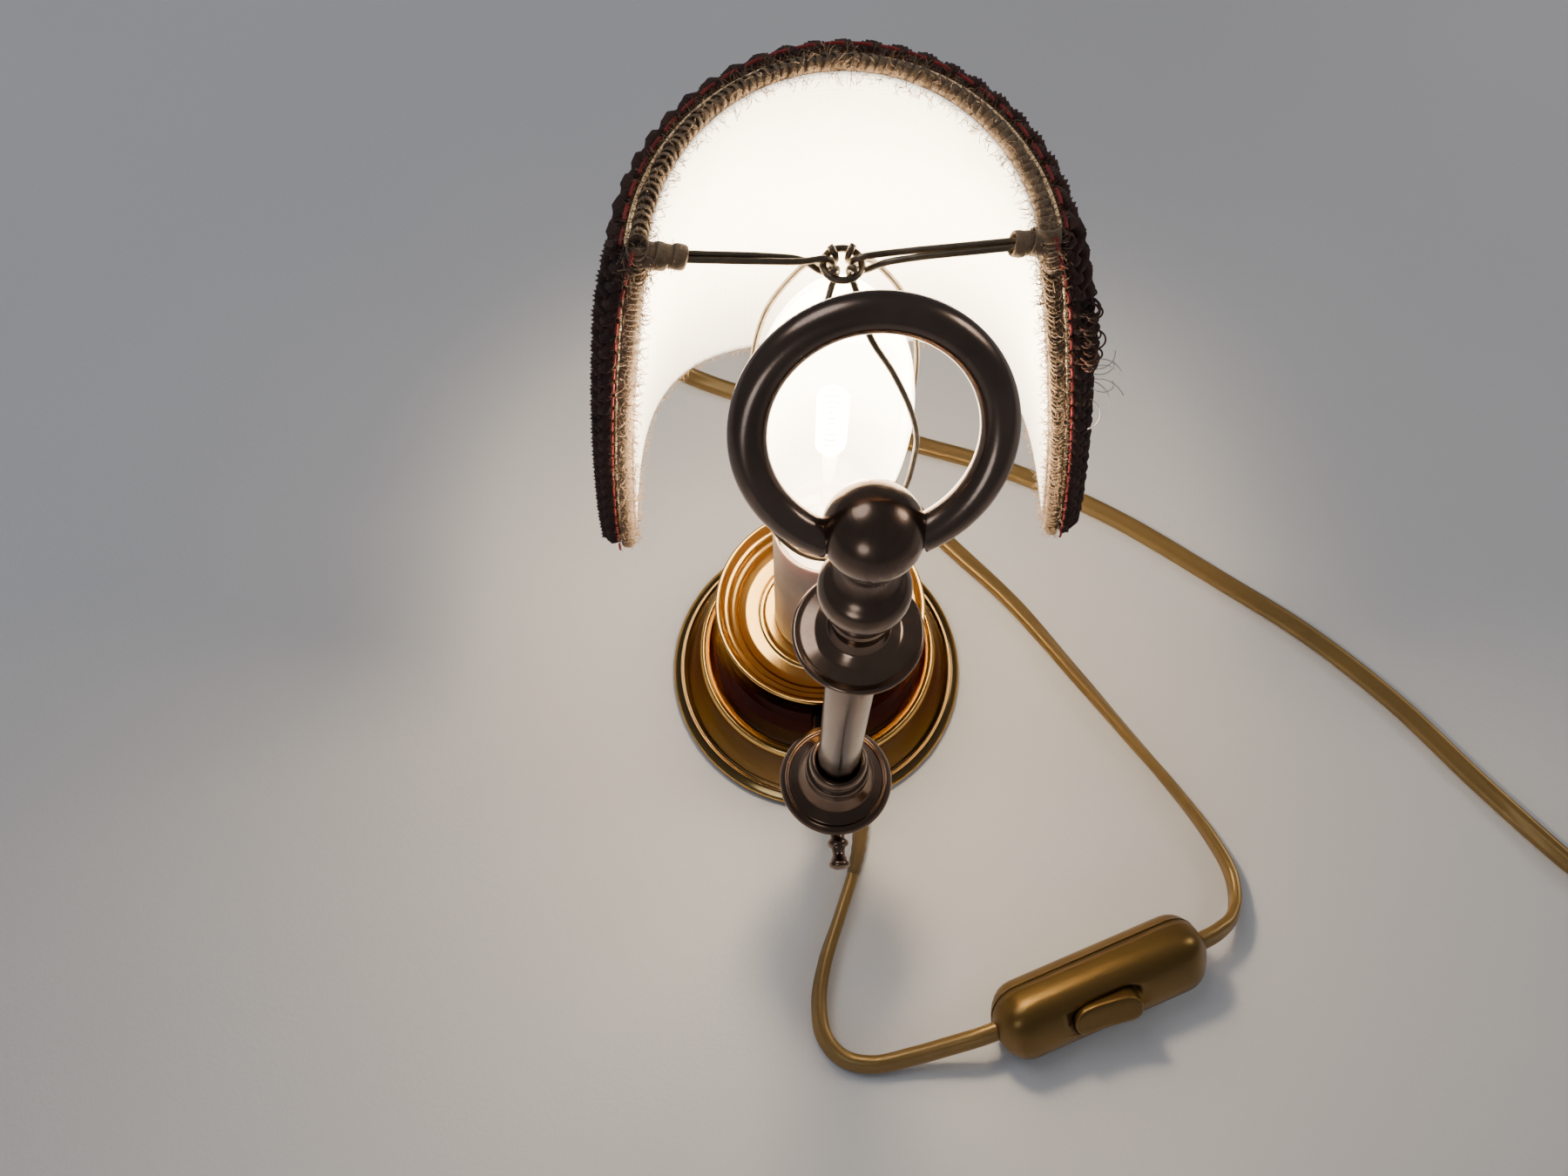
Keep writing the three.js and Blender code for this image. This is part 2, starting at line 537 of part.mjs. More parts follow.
const mainsRoute = [
  switchEnd(1, GAP + 0.02), switchEnd(1, 3.2, 0.4), [115.6, -88.6, 9.2], [120.6, -82, 6],
  [121.6, -73.8, 3.4], [117.4, -62.6, FLEX_Z], [109.8, -48.7, FLEX_Z], [96.8, -28.2, FLEX_Z],
  [83.2, -6.8, FLEX_Z], [66.5, 18.8, FLEX_Z], [48.4, 40.8, FLEX_Z], [29, 64.6, 3.4],
  [15.6, 80.1, 6], [7.4, 90.4, 7], [4.2, 95.6, 7], [-3.4, 105, 5.6], [-10, 117, 3],
  [-15.6, 131, FLEX_Z], [-22, 149, FLEX_Z], [-33, 160, FLEX_Z], [-46, 159, FLEX_Z],
  [-55.6, 149, FLEX_Z], [-57, 135, FLEX_Z], [-51, 122.6, FLEX_Z], [-40, 114.6, FLEX_Z],
  [-26.5, 107.7, FLEX_Z], [-10, 101.2, FLEX_Z], [7.4, 94.8, FLEX_Z], [26, 87, FLEX_Z],
  [43.4, 79.8, FLEX_Z], [61.2, 73, FLEX_Z], [78.6, 64.9, FLEX_Z], [95.5, 54.7, FLEX_Z],
  [111.8, 43.6, FLEX_Z], [137.8, 22.6, FLEX_Z], [162.8, 1.6, FLEX_Z], [185.5, -23.1, FLEX_Z],
  [205.9, -51.5, FLEX_Z], [225.6, -77, FLEX_Z], [236.2, -88.6, FLEX_Z], [245.6, -97.2, FLEX_Z],
];
add('cord_mains', flatCord(mainsRoute, 62), FLEX);

add('cord_coil', tubeRing(COIL.inner, COIL.outer, 0.2, 0.2 + COIL.height, 40)
  .translate(COIL.x, COIL.y, 0), FLEX);
add('cord_tail', flatCord([
  [PLUG.x, COIL.y + 32.8, 5], [PLUG.x, COIL.y + 40, 5], [PLUG.x, PLUG.y - 13, 6.2],
], 4), FLEX);

const plug = new THREE.Group();
plug.position.set(PLUG.x, PLUG.y, PLUG.height / 2 + 0.2);
plug.rotation.z = Math.PI / 2;
lamp.add(plug);
const plugOutline = new THREE.Shape([
  [-12.6, -3.6], [-4, -5.4], [6, -8.2], [22, -8.5], [22, 8.5], [6, 8.2], [-4, 5.4], [-12.6, 3.6],
].map((p) => new THREE.Vector2(...p)));
const plugBlock = new THREE.ExtrudeGeometry(plugOutline, {
  depth: PLUG.height - 3,
  bevelThickness: 1.5,
  bevelSize: 0.01,
  bevelSegments: 1,
}).translate(0, 0, -(PLUG.height - 3) / 2);
add('plug_body', plugBlock, SHELL, plug);
[1, -1].forEach((side) => {
  const profile = [[0, 22.3], [2, 22.3], [2, 40], [0, 41]];
  const name = side > 0 ? 'plug_pin_b' : 'plug_pin_a';
  add(name, turned(profile, 10).rotateY(Math.PI / 2), NICKEL, plug).position.y = 4.6 * side;
});

export default lamp;
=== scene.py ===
import math
import random

import bpy
from mathutils import Matrix, Vector


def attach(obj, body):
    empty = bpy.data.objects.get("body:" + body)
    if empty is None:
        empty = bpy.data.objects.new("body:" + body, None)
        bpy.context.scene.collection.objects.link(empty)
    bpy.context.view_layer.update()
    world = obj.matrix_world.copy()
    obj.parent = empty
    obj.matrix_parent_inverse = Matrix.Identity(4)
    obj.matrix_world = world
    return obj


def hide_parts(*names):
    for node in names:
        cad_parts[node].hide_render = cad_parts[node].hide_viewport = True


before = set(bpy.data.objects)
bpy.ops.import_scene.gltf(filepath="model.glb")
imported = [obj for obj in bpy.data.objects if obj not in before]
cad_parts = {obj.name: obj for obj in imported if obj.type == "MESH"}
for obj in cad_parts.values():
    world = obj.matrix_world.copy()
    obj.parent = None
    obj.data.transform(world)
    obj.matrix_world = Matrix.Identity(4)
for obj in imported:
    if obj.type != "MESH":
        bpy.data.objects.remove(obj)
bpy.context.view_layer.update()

# ------------------------------------------------------------------ table, light and camera
# The lamp stands on a pale table covered with a fine woven cloth. Soft studio light comes from
# above, and the camera looks steeply down over the stem, from behind the open side of the shade.
MM = 0.001


camera_data = bpy.data.cameras.new("camera")
camera_data.sensor_width = 36
camera_data.lens = 27.4
camera_data.clip_start = 0.01
camera = bpy.data.objects.new("camera", camera_data)
bpy.context.scene.collection.objects.link(camera)
camera.matrix_world = (
    Matrix.Translation((-0.0165, -0.1268, 0.373)) @ Matrix.Rotation(math.radians(-2.8), 4, "Z")
    @ Matrix.Rotation(math.radians(90 - 67.3), 4, "X") @ Matrix.Rotation(math.radians(-0.5), 4, "Z")
)
bpy.context.scene.camera = camera


def new_material(name):
    """An empty Principled material, with its tree and its shader node."""
    material = bpy.data.materials.new(name)
    material.use_nodes = True
    tree = material.node_tree
    return material, tree, tree.nodes["Principled BSDF"]


def add_node(tree, kind, inputs=None, **settings):
    """Adds a node, sets its properties, and sets or links its inputs by name or number."""
    node = tree.nodes.new(kind)
    for key, value in settings.items():
        setattr(node, key, value)
    for key, value in (inputs or {}).items():
        if isinstance(value, bpy.types.NodeSocket):
            tree.links.new(value, node.inputs[key])
        else:
            node.inputs[key].default_value = value
    return node


def settings(shader, **values):
    """Sets a shader's inputs, with an underscore for each space in a name."""
    for key, value in values.items():
        shader.inputs[key.replace("_", " ")].default_value = value


def math_node(tree, operation, *values):
    inputs = dict(enumerate(values))
    return add_node(tree, "ShaderNodeMath", inputs, operation=operation).outputs[0]


def raised(tree, shader, height, strength, distance):
    """Gives a material a fine relief."""
    relief = add_node(tree, "ShaderNodeBump",
                      {"Height": height, "Strength": strength, "Distance": distance})
    tree.links.new(relief.outputs["Normal"], shader.inputs["Normal"])


def two_tone(tree, factor, low, high):
    """A colour ramp of two tones, with its ramp node."""
    ramp = add_node(tree, "ShaderNodeValToRGB", {"Fac": factor})
    ramp.color_ramp.elements[0].color = (*low, 1)
    ramp.color_ramp.elements[1].color = (*high, 1)
    return ramp


def plain_mesh(name, vertices, faces, smooth=True):
    mesh = bpy.data.meshes.new(name)
    mesh.from_pydata([tuple(v) for v in vertices], [], faces)
    mesh.update()
    mesh.shade_smooth() if smooth else mesh.shade_flat()
    obj = bpy.data.objects.new(name, mesh)
    bpy.context.scene.collection.objects.link(obj)
    return obj


table = plain_mesh("table_top", [(-3, -3, 0), (3, -3, 0), (3, 3, 0), (-3, 3, 0)], [(0, 1, 2, 3)])
cloth, tree, shader = new_material("table_cloth")
where = add_node(tree, "ShaderNodeTexCoord").outputs["Object"]
threads = add_node(tree, "ShaderNodeTexVoronoi", {"Vector": where, "Scale": 900.0},
                   distance="CHEBYCHEV").outputs["Distance"]
clouds = add_node(tree, "ShaderNodeTexNoise", {"Vector": where, "Scale": 6.0}).outputs["Fac"]
tone = two_tone(tree, clouds, (0.60, 0.59, 0.60), (0.66, 0.65, 0.65))
tree.links.new(tone.outputs["Color"], shader.inputs["Base Color"])
raised(tree, shader, threads, 0.12, 0.0004)
settings(shader, Roughness=0.8)
table.data.materials.append(cloth)


def soft_light(name, place, aim, size, power, colour):
    data = bpy.data.lights.new(name, "AREA")
    data.shape = "DISK"
    data.size = size
    data.energy = power
    data.color = colour
    light = bpy.data.objects.new(name, data)
    light.location = place
    light.rotation_euler = (Vector(aim) - Vector(place)).to_track_quat("-Z", "Y").to_euler()
    bpy.context.scene.collection.objects.link(light)


soft_light("sky_light", (-0.6, 0.5, 1.3), (0, 0, 0.05), 0.8, 5.5, (0.90, 0.94, 1.0))
soft_light("window_light", (1.1, 0.3, 0.8), (0, 0, 0.08), 0.5, 3.2, (1.0, 0.95, 0.88))
soft_light("back_light", (-0.5, -1.0, 0.6), (0, 0, 0.1), 0.4, 1.2, (0.85, 0.92, 1.0))
bulb_light = bpy.data.lights.new("bulb_light", "POINT")
bulb_light.energy = 1.1
bulb_light.color = (1.0, 0.80, 0.56)
bulb_light.shadow_soft_size = 0.012
bulb_lamp = bpy.data.objects.new("bulb_light", bulb_light)
bulb_lamp.location = (0, 0, 0.158)
bulb_lamp.visible_camera = bulb_lamp.visible_transmission = bulb_lamp.visible_glossy = False
bpy.context.scene.collection.objects.link(bulb_lamp)
world = bpy.data.worlds.new("studio")
world.use_nodes = True
backdrop = world.node_tree.nodes["Background"].inputs
backdrop["Color"].default_value = (0.50, 0.53, 0.60, 1)
backdrop["Strength"].default_value = 0.24
bpy.context.scene.world = world

# ------------------------------------------------------------------ flat cord
# A flat two core mains cord in satin gold bronze plastic, 6.2 mm wide and 3.7 mm thick with a
# shallow groove down each flat. It leaves the base through a grommet, runs through the hand
# switch, loops behind the lamp, and is stored as a tied coil beside its plug.
FLEX_WIDTH = 6.2
FLEX_THICK = 3.7
TABLE_GAP = 0.25


def catmull(points, step):
    """Evenly spaced points, step apart, on the centripetal curve through the given ones."""
    points = [Vector(p) for p in points]
    ends = [2 * points[0] - points[1]] + points + [2 * points[-1] - points[-2]]
    dense = [points[0]]
    for i in range(1, len(ends) - 2):
        p0, p1, p2, p3 = ends[i - 1:i + 3]
        t1 = max((p1 - p0).length, 1e-9) ** 0.5
        t2 = t1 + max((p2 - p1).length, 1e-9) ** 0.5
        t3 = t2 + max((p3 - p2).length, 1e-9) ** 0.5
        for k in range(1, 25):
            t = t1 + (t2 - t1) * k / 24
            a1 = p0 * ((t1 - t) / t1) + p1 * (t / t1)
            a2 = p1 * ((t2 - t) / (t2 - t1)) + p2 * ((t - t1) / (t2 - t1))
            a3 = p2 * ((t3 - t) / (t3 - t2)) + p3 * ((t - t2) / (t3 - t2))
            b1 = a1 * ((t2 - t) / t2) + a2 * (t / t2)
            b2 = a2 * ((t3 - t) / (t3 - t1)) + a3 * ((t - t1) / (t3 - t1))
            dense.append(b1 * ((t2 - t) / (t2 - t1)) + b2 * ((t - t1) / (t2 - t1)))
    reach = [0.0]
    for a, b in zip(dense, dense[1:]):
        reach.append(reach[-1] + (b - a).length)
    count = max(2, round(reach[-1] / step))
    even, j = [], 0
    for k in range(count + 1):
        goal = reach[-1] * k / count
        while j < len(reach) - 2 and reach[j + 1] < goal:
            j += 1
        span = max(reach[j + 1] - reach[j], 1e-12)
        even.append(dense[j].lerp(dense[j + 1], min(1.0, (goal - reach[j]) / span)))
    return even


def path_length(points):
    return sum((b - a).length for a, b in zip(points, points[1:]))


def swept(name, path, section, ups, close=False):
    """Sweeps section(i), a ring of (across, up) offsets, along a path with an up vector a point."""
    vertices, faces = [], []
    count = len(path)
    for i, point in enumerate(path):
        before = path[i - 1] if i or close else path[0]
        after = path[(i + 1) % count] if i < count - 1 or close else path[-1]
        tangent = (after - before).normalized()
        up = (ups[i] - ups[i].dot(tangent) * tangent).normalized()
        across = tangent.cross(up)
        ring = section(i)
        vertices += [point + across * a + up * b for a, b in ring]
    sides = len(ring)
    last = count if close else count - 1
    for i in range(last):
        j = (i + 1) % count
        for k in range(sides):
            m = (k + 1) % sides
            faces.append((i * sides + k, i * sides + m, j * sides + m, j * sides + k))
    if not close:
        faces.append(tuple(reversed(range(sides))))
        faces.append(tuple((count - 1) * sides + k for k in range(sides)))
    obj = plain_mesh(name, vertices, faces)
    face = obj.data.polygons[0]
    ring_middle = path[0].lerp(path[1], 0.5)
    if face.normal.dot(face.center - ring_middle) < 0:
        obj.data.flip_normals()
    return obj


def round_section(radius, sides=12):
    ring = [(radius * math.cos(math.tau * k / sides), radius * math.sin(math.tau * k / sides))
            for k in range(sides)]
    return lambda i: ring


def rounded_ring(count, wide, tall, corner, tall_corner=None):
    """(across, up) points round a shape between an ellipse (corner 1) and a box (corner 0)."""
    ring = []
    for k in range(count):
        c, s = math.cos(math.tau * k / count), math.sin(math.tau * k / count)
        ring.append((wide * math.copysign(abs(c) ** corner, c),
                     tall * math.copysign(abs(s) ** (tall_corner or corner), s)))
    return ring


def flex_section(i):
    return [(across * MM, up * (1 - 0.2 * math.exp(-(across / 0.75) ** 2)) * MM)
            for across, up in rounded_ring(24, FLEX_WIDTH / 2, FLEX_THICK / 2, 0.8, 0.72)]


def flex_run(name, stops, step=1.6):
    """stops holds (x, y, lift, roll): lift is the height of the cord's underside over the table,
    and roll turns the flat from lying (0) to standing on its edge (90)."""
    def height(lift, roll):
        lean = math.radians(roll)
        half = math.hypot(FLEX_THICK / 2 * math.cos(lean), FLEX_WIDTH / 2 * math.sin(lean))
        return lift + half + TABLE_GAP
    points = [(x, y, height(lift, roll)) for x, y, lift, roll in stops]
    even = catmull(points, step)
    rolls, j, travelled = [], 0, 0.0
    marks = [0.0]
    for a, b in zip(points, points[1:]):
        marks.append(marks[-1] + (Vector(b) - Vector(a)).length)
    total = path_length(even)
    for i, point in enumerate(even):
        if i:
            travelled += (point - even[i - 1]).length
        goal = travelled / total * marks[-1]
        while j < len(marks) - 2 and marks[j + 1] < goal:
            j += 1
        part = min(1.0, max(0.0, (goal - marks[j]) / (marks[j + 1] - marks[j])))
        part = part * part * (3 - 2 * part)
        rolls.append(math.radians(stops[j][3] * (1 - part) + stops[j + 1][3] * part))
    path = [p * MM for p in even]
    ups = []
    for i, point in enumerate(path):
        tangent = (path[min(i + 1, len(path) - 1)] - path[max(i - 1, 0)]).normalized()
        upright = Vector((0, 0, 1))
        upright = (upright - upright.dot(tangent) * tangent).normalized()
        ups.append(Matrix.Rotation(rolls[i], 3, tangent) @ upright)
    return swept(name, path, flex_section, ups), path


lamp_stops = [
    (9.2, -45.2, 3.9, 90), (9.78, -48.2, 3.8, 90), (10.1, -51, 3.4, 90), (9.7, -57, 1.3, 90),
    (7.4, -66, 0, 90), (1.8, -80, 0, 86), (-3.6, -93, 0, 76), (-6.2, -104, 0, 66),
    (-5.4, -113.6, 0, 60), (-0.6, -119.8, 0, 56), (7.7, -122.2, 0.6, 54), (20, -120.6, 2.6, 52),
    (31, -118.4, 5.8, 50), (37.5, -117.0, 7.9, 50), (43.2, -115.5, 8.6, 50), (45.2, -114.8, 8.6, 50),
]
mains_stops = [
    (103.8, -95.2, 8.6, 50), (105.8, -94.5, 8.6, 50), (111.8, -92.0, 7.2, 54), (117.4, -88.2, 4.6, 68),
    (120.8, -82, 1.8, 84), (121.4, -73.8, 0.2, 90), (117.4, -62.6, 0, 86), (109.8, -48.7, 0, 74),
    (96.8, -28.2, 0, 60), (83.2, -6.8, 0, 46), (66.5, 18.8, 0, 30), (48.4, 40.8, 0, 16),
    (29, 64.6, 1.2, 8), (15.6, 80.1, 3.6, 4), (8.4, 89.4, 4.3, 0), (3.2, 96.6, 4.3, 0),
    (-3.6, 105.4, 3.2, 6), (-10, 117, 1, 24), (-15.6, 131, 0, 50), (-22, 149, 0, 78),
    (-33, 160, 0, 90), (-46, 159, 0, 90), (-55.6, 149, 0, 90), (-57, 135, 0, 84),
    (-51, 122.6, 0, 62), (-40, 114.6, 0, 34), (-26.5, 107.7, 0, 12), (-10, 101.2, 0, 2),
    (7.4, 94.6, 0, 0), (26, 87, 0, 0), (43.4, 79.8, 0, 4), (61.2, 73, 0, 8), (78.6, 64.9, 0, 12),
    (95.5, 54.7, 0, 14), (111.8, 43.6, 0, 14), (137.8, 22.6, 0, 12), (162.8, 1.6, 0, 14),
    (185.5, -23.1, 0, 20), (205.9, -51.5, 0, 34), (225.6, -77, 0, 56), (234.2, -86.6, 0, 74),
]
COIL_X, COIL_Y = 281, -128
COIL_TURNS = 148 / 360 + 3
ENTRY = math.radians(152)
for step_number in range(83):
    turned = COIL_TURNS * step_number / 82
    angle = ENTRY + math.tau * turned
    radius = 44.2 - 3.9 * turned
    mains_stops.append((COIL_X + radius * math.cos(angle), COIL_Y + radius * math.sin(angle), 0, 90))
mains_stops += [
    (COIL_X + 24.6, COIL_Y - 13.6, 2.4, 70), (COIL_X + 27.0, COIL_Y - 2.5, 5.4, 30),
    (COIL_X + 28.6, COIL_Y + 7, 6.7, 6), (COIL_X + 31.2, COIL_Y + 17, 6.8, 0),
    (COIL_X + 34.2, COIL_Y + 27, 6.6, 0), (COIL_X + 36.0, COIL_Y + 35, 5.5, 0),
    (COIL_X + 36.6, COIL_Y + 42, 4.4, 0), (COIL_X + 36.4, COIL_Y + 47.5, 3.9, 0),
    (COIL_X + 36.4, COIL_Y + 51.6, 3.7, 0),
]

lamp_cord, lamp_path = flex_run("lamp_cord", lamp_stops)
mains_cord, mains_path = flex_run("mains_cord", mains_stops)


def shader_group(name, inputs, outputs):
    """A shader node group with named inputs (name, kind, value) and outputs (name, kind)."""
    group = bpy.data.node_groups.new(name, "ShaderNodeTree")
    for label, kind, value in inputs:
        socket = group.interface.new_socket(label, in_out="INPUT", socket_type=kind)
        if value is not None:
            socket.default_value = value
    for label, kind in outputs:
        group.interface.new_socket(label, in_out="OUTPUT", socket_type=kind)
    return group, group.nodes.new("NodeGroupInput").outputs, group.nodes.new("NodeGroupOutput").inputs


def use_group(tree, group, **values):
    node = tree.nodes.new("ShaderNodeGroup")
    node.node_tree = group
    for key, value in values.items():
        socket = node.inputs[key.replace("_", " ")]
        if isinstance(value, bpy.types.NodeSocket):
            tree.links.new(value, socket)
        else:
            socket.default_value = value
    return node.outputs


VECTOR, FLOAT, COLOUR = "NodeSocketVector", "NodeSocketFloat", "NodeSocketColor"

# Two tones clouded over each other, with a fine grain for the height: the look of dust, handling
# and ageing on every finish of the lamp.
worn, given, put = shader_group(
    "handled_surface",
    [("Bright", COLOUR, (1, 1, 1, 1)), ("Dull", COLOUR, (0, 0, 0, 1)), ("Cloud size", FLOAT, 60.0),
     ("Dullness", FLOAT, 0.5), ("Smooth", FLOAT, 0.25), ("Rough", FLOAT, 0.5),
     ("Grain size", FLOAT, 900.0)],
    [("Color", COLOUR), ("Roughness", FLOAT), ("Height", FLOAT)],
)
spot = add_node(worn, "ShaderNodeTexCoord").outputs["Object"]
cloud = add_node(worn, "ShaderNodeTexNoise",
                 {"Vector": spot, "Scale": given["Cloud size"], "Detail": 5.0, "Roughness": 0.62})
shade_of = add_node(worn, "ShaderNodeMapRange",
                    {"Value": cloud.outputs["Fac"], "From Min": 0.36, "From Max": 0.7,
                     "To Min": 0.0, "To Max": given["Dullness"]}).outputs["Result"]
mixed = add_node(worn, "ShaderNodeMix", {0: shade_of, 6: given["Bright"], 7: given["Dull"]},
                 data_type="RGBA")
worn.links.new(mixed.outputs[2], put["Color"])
rough_value = add_node(worn, "ShaderNodeMapRange",
                       {"Value": cloud.outputs["Fac"], "From Min": 0.3, "From Max": 0.75,
                        "To Min": given["Smooth"], "To Max": given["Rough"]}).outputs["Result"]
worn.links.new(rough_value, put["Roughness"])
grain = add_node(worn, "ShaderNodeTexNoise",
                 {"Vector": spot, "Scale": given["Grain size"], "Detail": 3.0}).outputs["Fac"]
worn.links.new(grain, put["Height"])


def surfaced(name, bright, dull, smooth, rough, clouds, dullness, grain):
    """A new material coloured by handled_surface, with the group's outputs."""
    material, tree, shader = new_material(name)
    out = use_group(tree, worn, Bright=(*bright, 1), Dull=(*dull, 1), Cloud_size=clouds,
                    Dullness=dullness, Smooth=smooth, Rough=rough, Grain_size=grain)
    tree.links.new(out["Color"], shader.inputs["Base Color"])
    return material, tree, shader, out


def handled(name, bright, dull, smooth, rough, metal=0.0, clouds=60.0, dullness=0.6, grain=900.0,
            bump=0.05, depth=0.0002, coat=0.0):
    """A finish made with handled_surface alone."""
    material, tree, shader, out = surfaced(name, bright, dull, smooth, rough, clouds, dullness, grain)
    tree.links.new(out["Roughness"], shader.inputs["Roughness"])
    raised(tree, shader, out["Height"], bump, depth)
    settings(shader, Metallic=metal, Coat_Weight=coat, Coat_Roughness=0.12)
    return material


def fibrous(name, bright, dull, clouds, bump, rough, sheen, smooth=0.7, dullness=1.0, grain=3000.0,
            depth=0.0004):
    """A dull cloth, felt or yarn: handled_surface for the colour, with a soft sheen."""
    material, tree, shader, out = surfaced(name, bright, dull, smooth, 1.0, clouds, dullness, grain)
    raised(tree, shader, out["Height"], bump, depth)
    settings(shader, Roughness=rough, Sheen_Weight=sheen)
    return material


def fit(piece, material, body, slot, *nodes):
    """Gives a piece its finish, the body that carries it and the CAD nodes it shows, which it hides; slot
    is not used.
    """
    piece.data.materials.append(material)
    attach(piece, body)
    if nodes:
        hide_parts(*nodes)
    return piece


flex_skin = handled("satin_gold_flex", (0.30, 0.185, 0.06), (0.17, 0.10, 0.035), 0.3, 0.46,
                    metal=0.6, clouds=35, dullness=0.6, grain=1800, bump=0.06)
fit(lamp_cord, flex_skin, "base", "flex", "cord_lamp")
fit(mains_cord, flex_skin, "base", "flex", "cord_mains", "cord_coil", "cord_tail")


# The tie is a soft plastic band round the coil; the grommet is a tapered bush in the base's rear
# wall that eases the cord's bend.
TIE_OUT, TIE_HALF_WIDE, TIE_HALF_TALL = 36.8, 9.2, 3.75
band = [(c * MM, u * MM) for c, u in ((-2.4, -0.35), (2.4, -0.35), (2.6, 0), (2.4, 0.35),
                                      (-2.4, 0.35), (-2.6, 0))]
tie_angle = math.radians(-60)
tie_dir = Vector((math.cos(tie_angle), math.sin(tie_angle), 0))
tie_middle = Vector((COIL_X, COIL_Y, 3.8)) + TIE_OUT * tie_dir
tie_path, tie_ups = [], []
for across, high in rounded_ring(32, TIE_HALF_WIDE, TIE_HALF_TALL, 0.35):
    spot = Vector((COIL_X, COIL_Y, 4.25 + high)) + (TIE_OUT + across) * tie_dir
    tie_path.append(spot * MM)
    tie_ups.append((spot - tie_middle).normalized())
coil_tie = swept("coil_tie", tie_path, lambda i: band, tie_ups, close=True)
tie_skin = handled("tie_band", (0.04, 0.035, 0.03), (0.02, 0.02, 0.02), 0.4, 0.6)
fit(coil_tie, tie_skin, "base", "flex")

bush_path, bush_ups = [], []
for i, point in enumerate(lamp_path):
    if path_length(lamp_path[:i + 1]) < 0.0245:
        bush_path.append(point)
        bush_ups.append(Vector((0, 0, 1)))


def bush_section(i):
    along = path_length(bush_path[:i + 1]) / MM
    ridge = 0.16 if i % 2 and along > 5 else 0.0
    collar = 1.15 if 2.4 < along < 4.4 else 0.0
    grow = 0.95 * max(0.0, 1 - along / 24.0) + 0.15 - ridge + collar
    ring = rounded_ring(32, FLEX_THICK / 2 + grow, FLEX_WIDTH / 2 + grow, 0.8)
    return [(wide * MM, tall * MM) for wide, tall in ring]


grommet = swept("cord_bush", bush_path, bush_section, bush_ups)
bush_skin = handled("gold_brown_bush", (0.20, 0.125, 0.045), (0.12, 0.07, 0.03), 0.36, 0.5, metal=0.3,
                    grain=1500)
fit(grommet, bush_skin, "base", "flex", "cord_grommet")

# ------------------------------------------------------------------ hand switch
# A two part moulded switch body in satin gold bronze plastic with full round ends, a parting
# line, and an oval rocker standing in its window. It lies rolled over on its side.
SWITCH_AT = Vector((74.5, -105, 11.5))
SWITCH_TURN = Matrix.Rotation(math.radians(18.5), 3, "Z") @ Matrix.Rotation(math.radians(50), 3, "X")
ROCKER_X, ROCKER_Z = -2.2, 5


def switch_ring(x, low, high):
    """A section ring across the body at x, between two heights, rounded towards its ends."""
    reach = 33.0
    end = 9.0
    over = max(0.0, abs(x) - (reach - end))
    plan = math.sqrt(max(0.0, 1 - (over / end) ** 2))
    half = 11 * (0.12 + 0.88 * plan) if over else 11
    tall = 8.5 * (0.35 + 0.65 * max(0.0, 1 - (over / end) ** 2.6)) if over else 8.5
    return [(y, min(high, max(low, z))) for y, z in rounded_ring(40, half, tall, 0.62)]


def switch_half(name, low, high):
    stations = [-33.0, -32.9, -32.6, -32, -31, -29.6, -28, -26, -24] + list(range(-20, 21, 4))
    stations += [24, 26, 28, 29.6, 31, 32, 32.6, 32.9, 33.0]
    path = [(SWITCH_AT + SWITCH_TURN @ Vector((x, 0, 0))) * MM for x in stations]
    up = SWITCH_TURN @ Vector((0, 0, 1))
    rings = [[(-y * MM, z * MM) for y, z in switch_ring(x, low, high)] for x in stations]
    return swept(name, path, lambda i: rings[i], [up] * len(path))


switch_skin = handled("satin_gold_shell", (0.21, 0.125, 0.036), (0.14, 0.082, 0.026), 0.3, 0.38,
                      metal=0.85, clouds=22, dullness=0.5, grain=500, bump=0.012)
switch_upper = switch_half("switch_cap", -2.2, 20)
switch_lower = switch_half("switch_base", -20, -2.5)


def cutter_block(name, x, y, z, corner, place, turn):
    """A rounded oval block for cutting a window."""
    ring = rounded_ring(32, x, y, corner)
    vertices = [turn @ Vector((px, py, pz)) * MM + place * MM for pz in z for px, py in ring]
    faces = [(k, (k + 1) % 32, 32 + (k + 1) % 32, 32 + k) for k in range(32)]
    faces += [tuple(reversed(range(32))), tuple(range(32, 64))]
    return plain_mesh(name, vertices, faces)


def cut_out(obj, tool):
    cut = obj.modifiers.new("cut", "BOOLEAN")
    cut.object = tool
    cut.solver = "EXACT"
    finish_modifiers(obj)
    bpy.data.objects.remove(tool, do_unlink=True)


def finish_modifiers(obj):
    bpy.context.view_layer.update()
    ready = obj.evaluated_get(bpy.context.evaluated_depsgraph_get())
    mesh = bpy.data.meshes.new_from_object(ready)
    obj.modifiers.clear()
    obj.data = mesh


cut_out(switch_upper, cutter_block("window", 10.9, 5.9, (1.0, 12.0), 0.5,
                                   SWITCH_AT + SWITCH_TURN @ Vector((ROCKER_X, 0, 0)), SWITCH_TURN))
fit(switch_upper, switch_skin, "base", "switch_shell", "switch_upper")
fit(switch_lower, switch_skin, "base", "switch_shell", "switch_lower")


def rocker_height(x):
    return 5.5 + 0.9 * (x / 10) ** 2 if abs(x) < 9.2 else 5.5 + 0.76 - 0.9 * (abs(x) - 9.2) ** 2


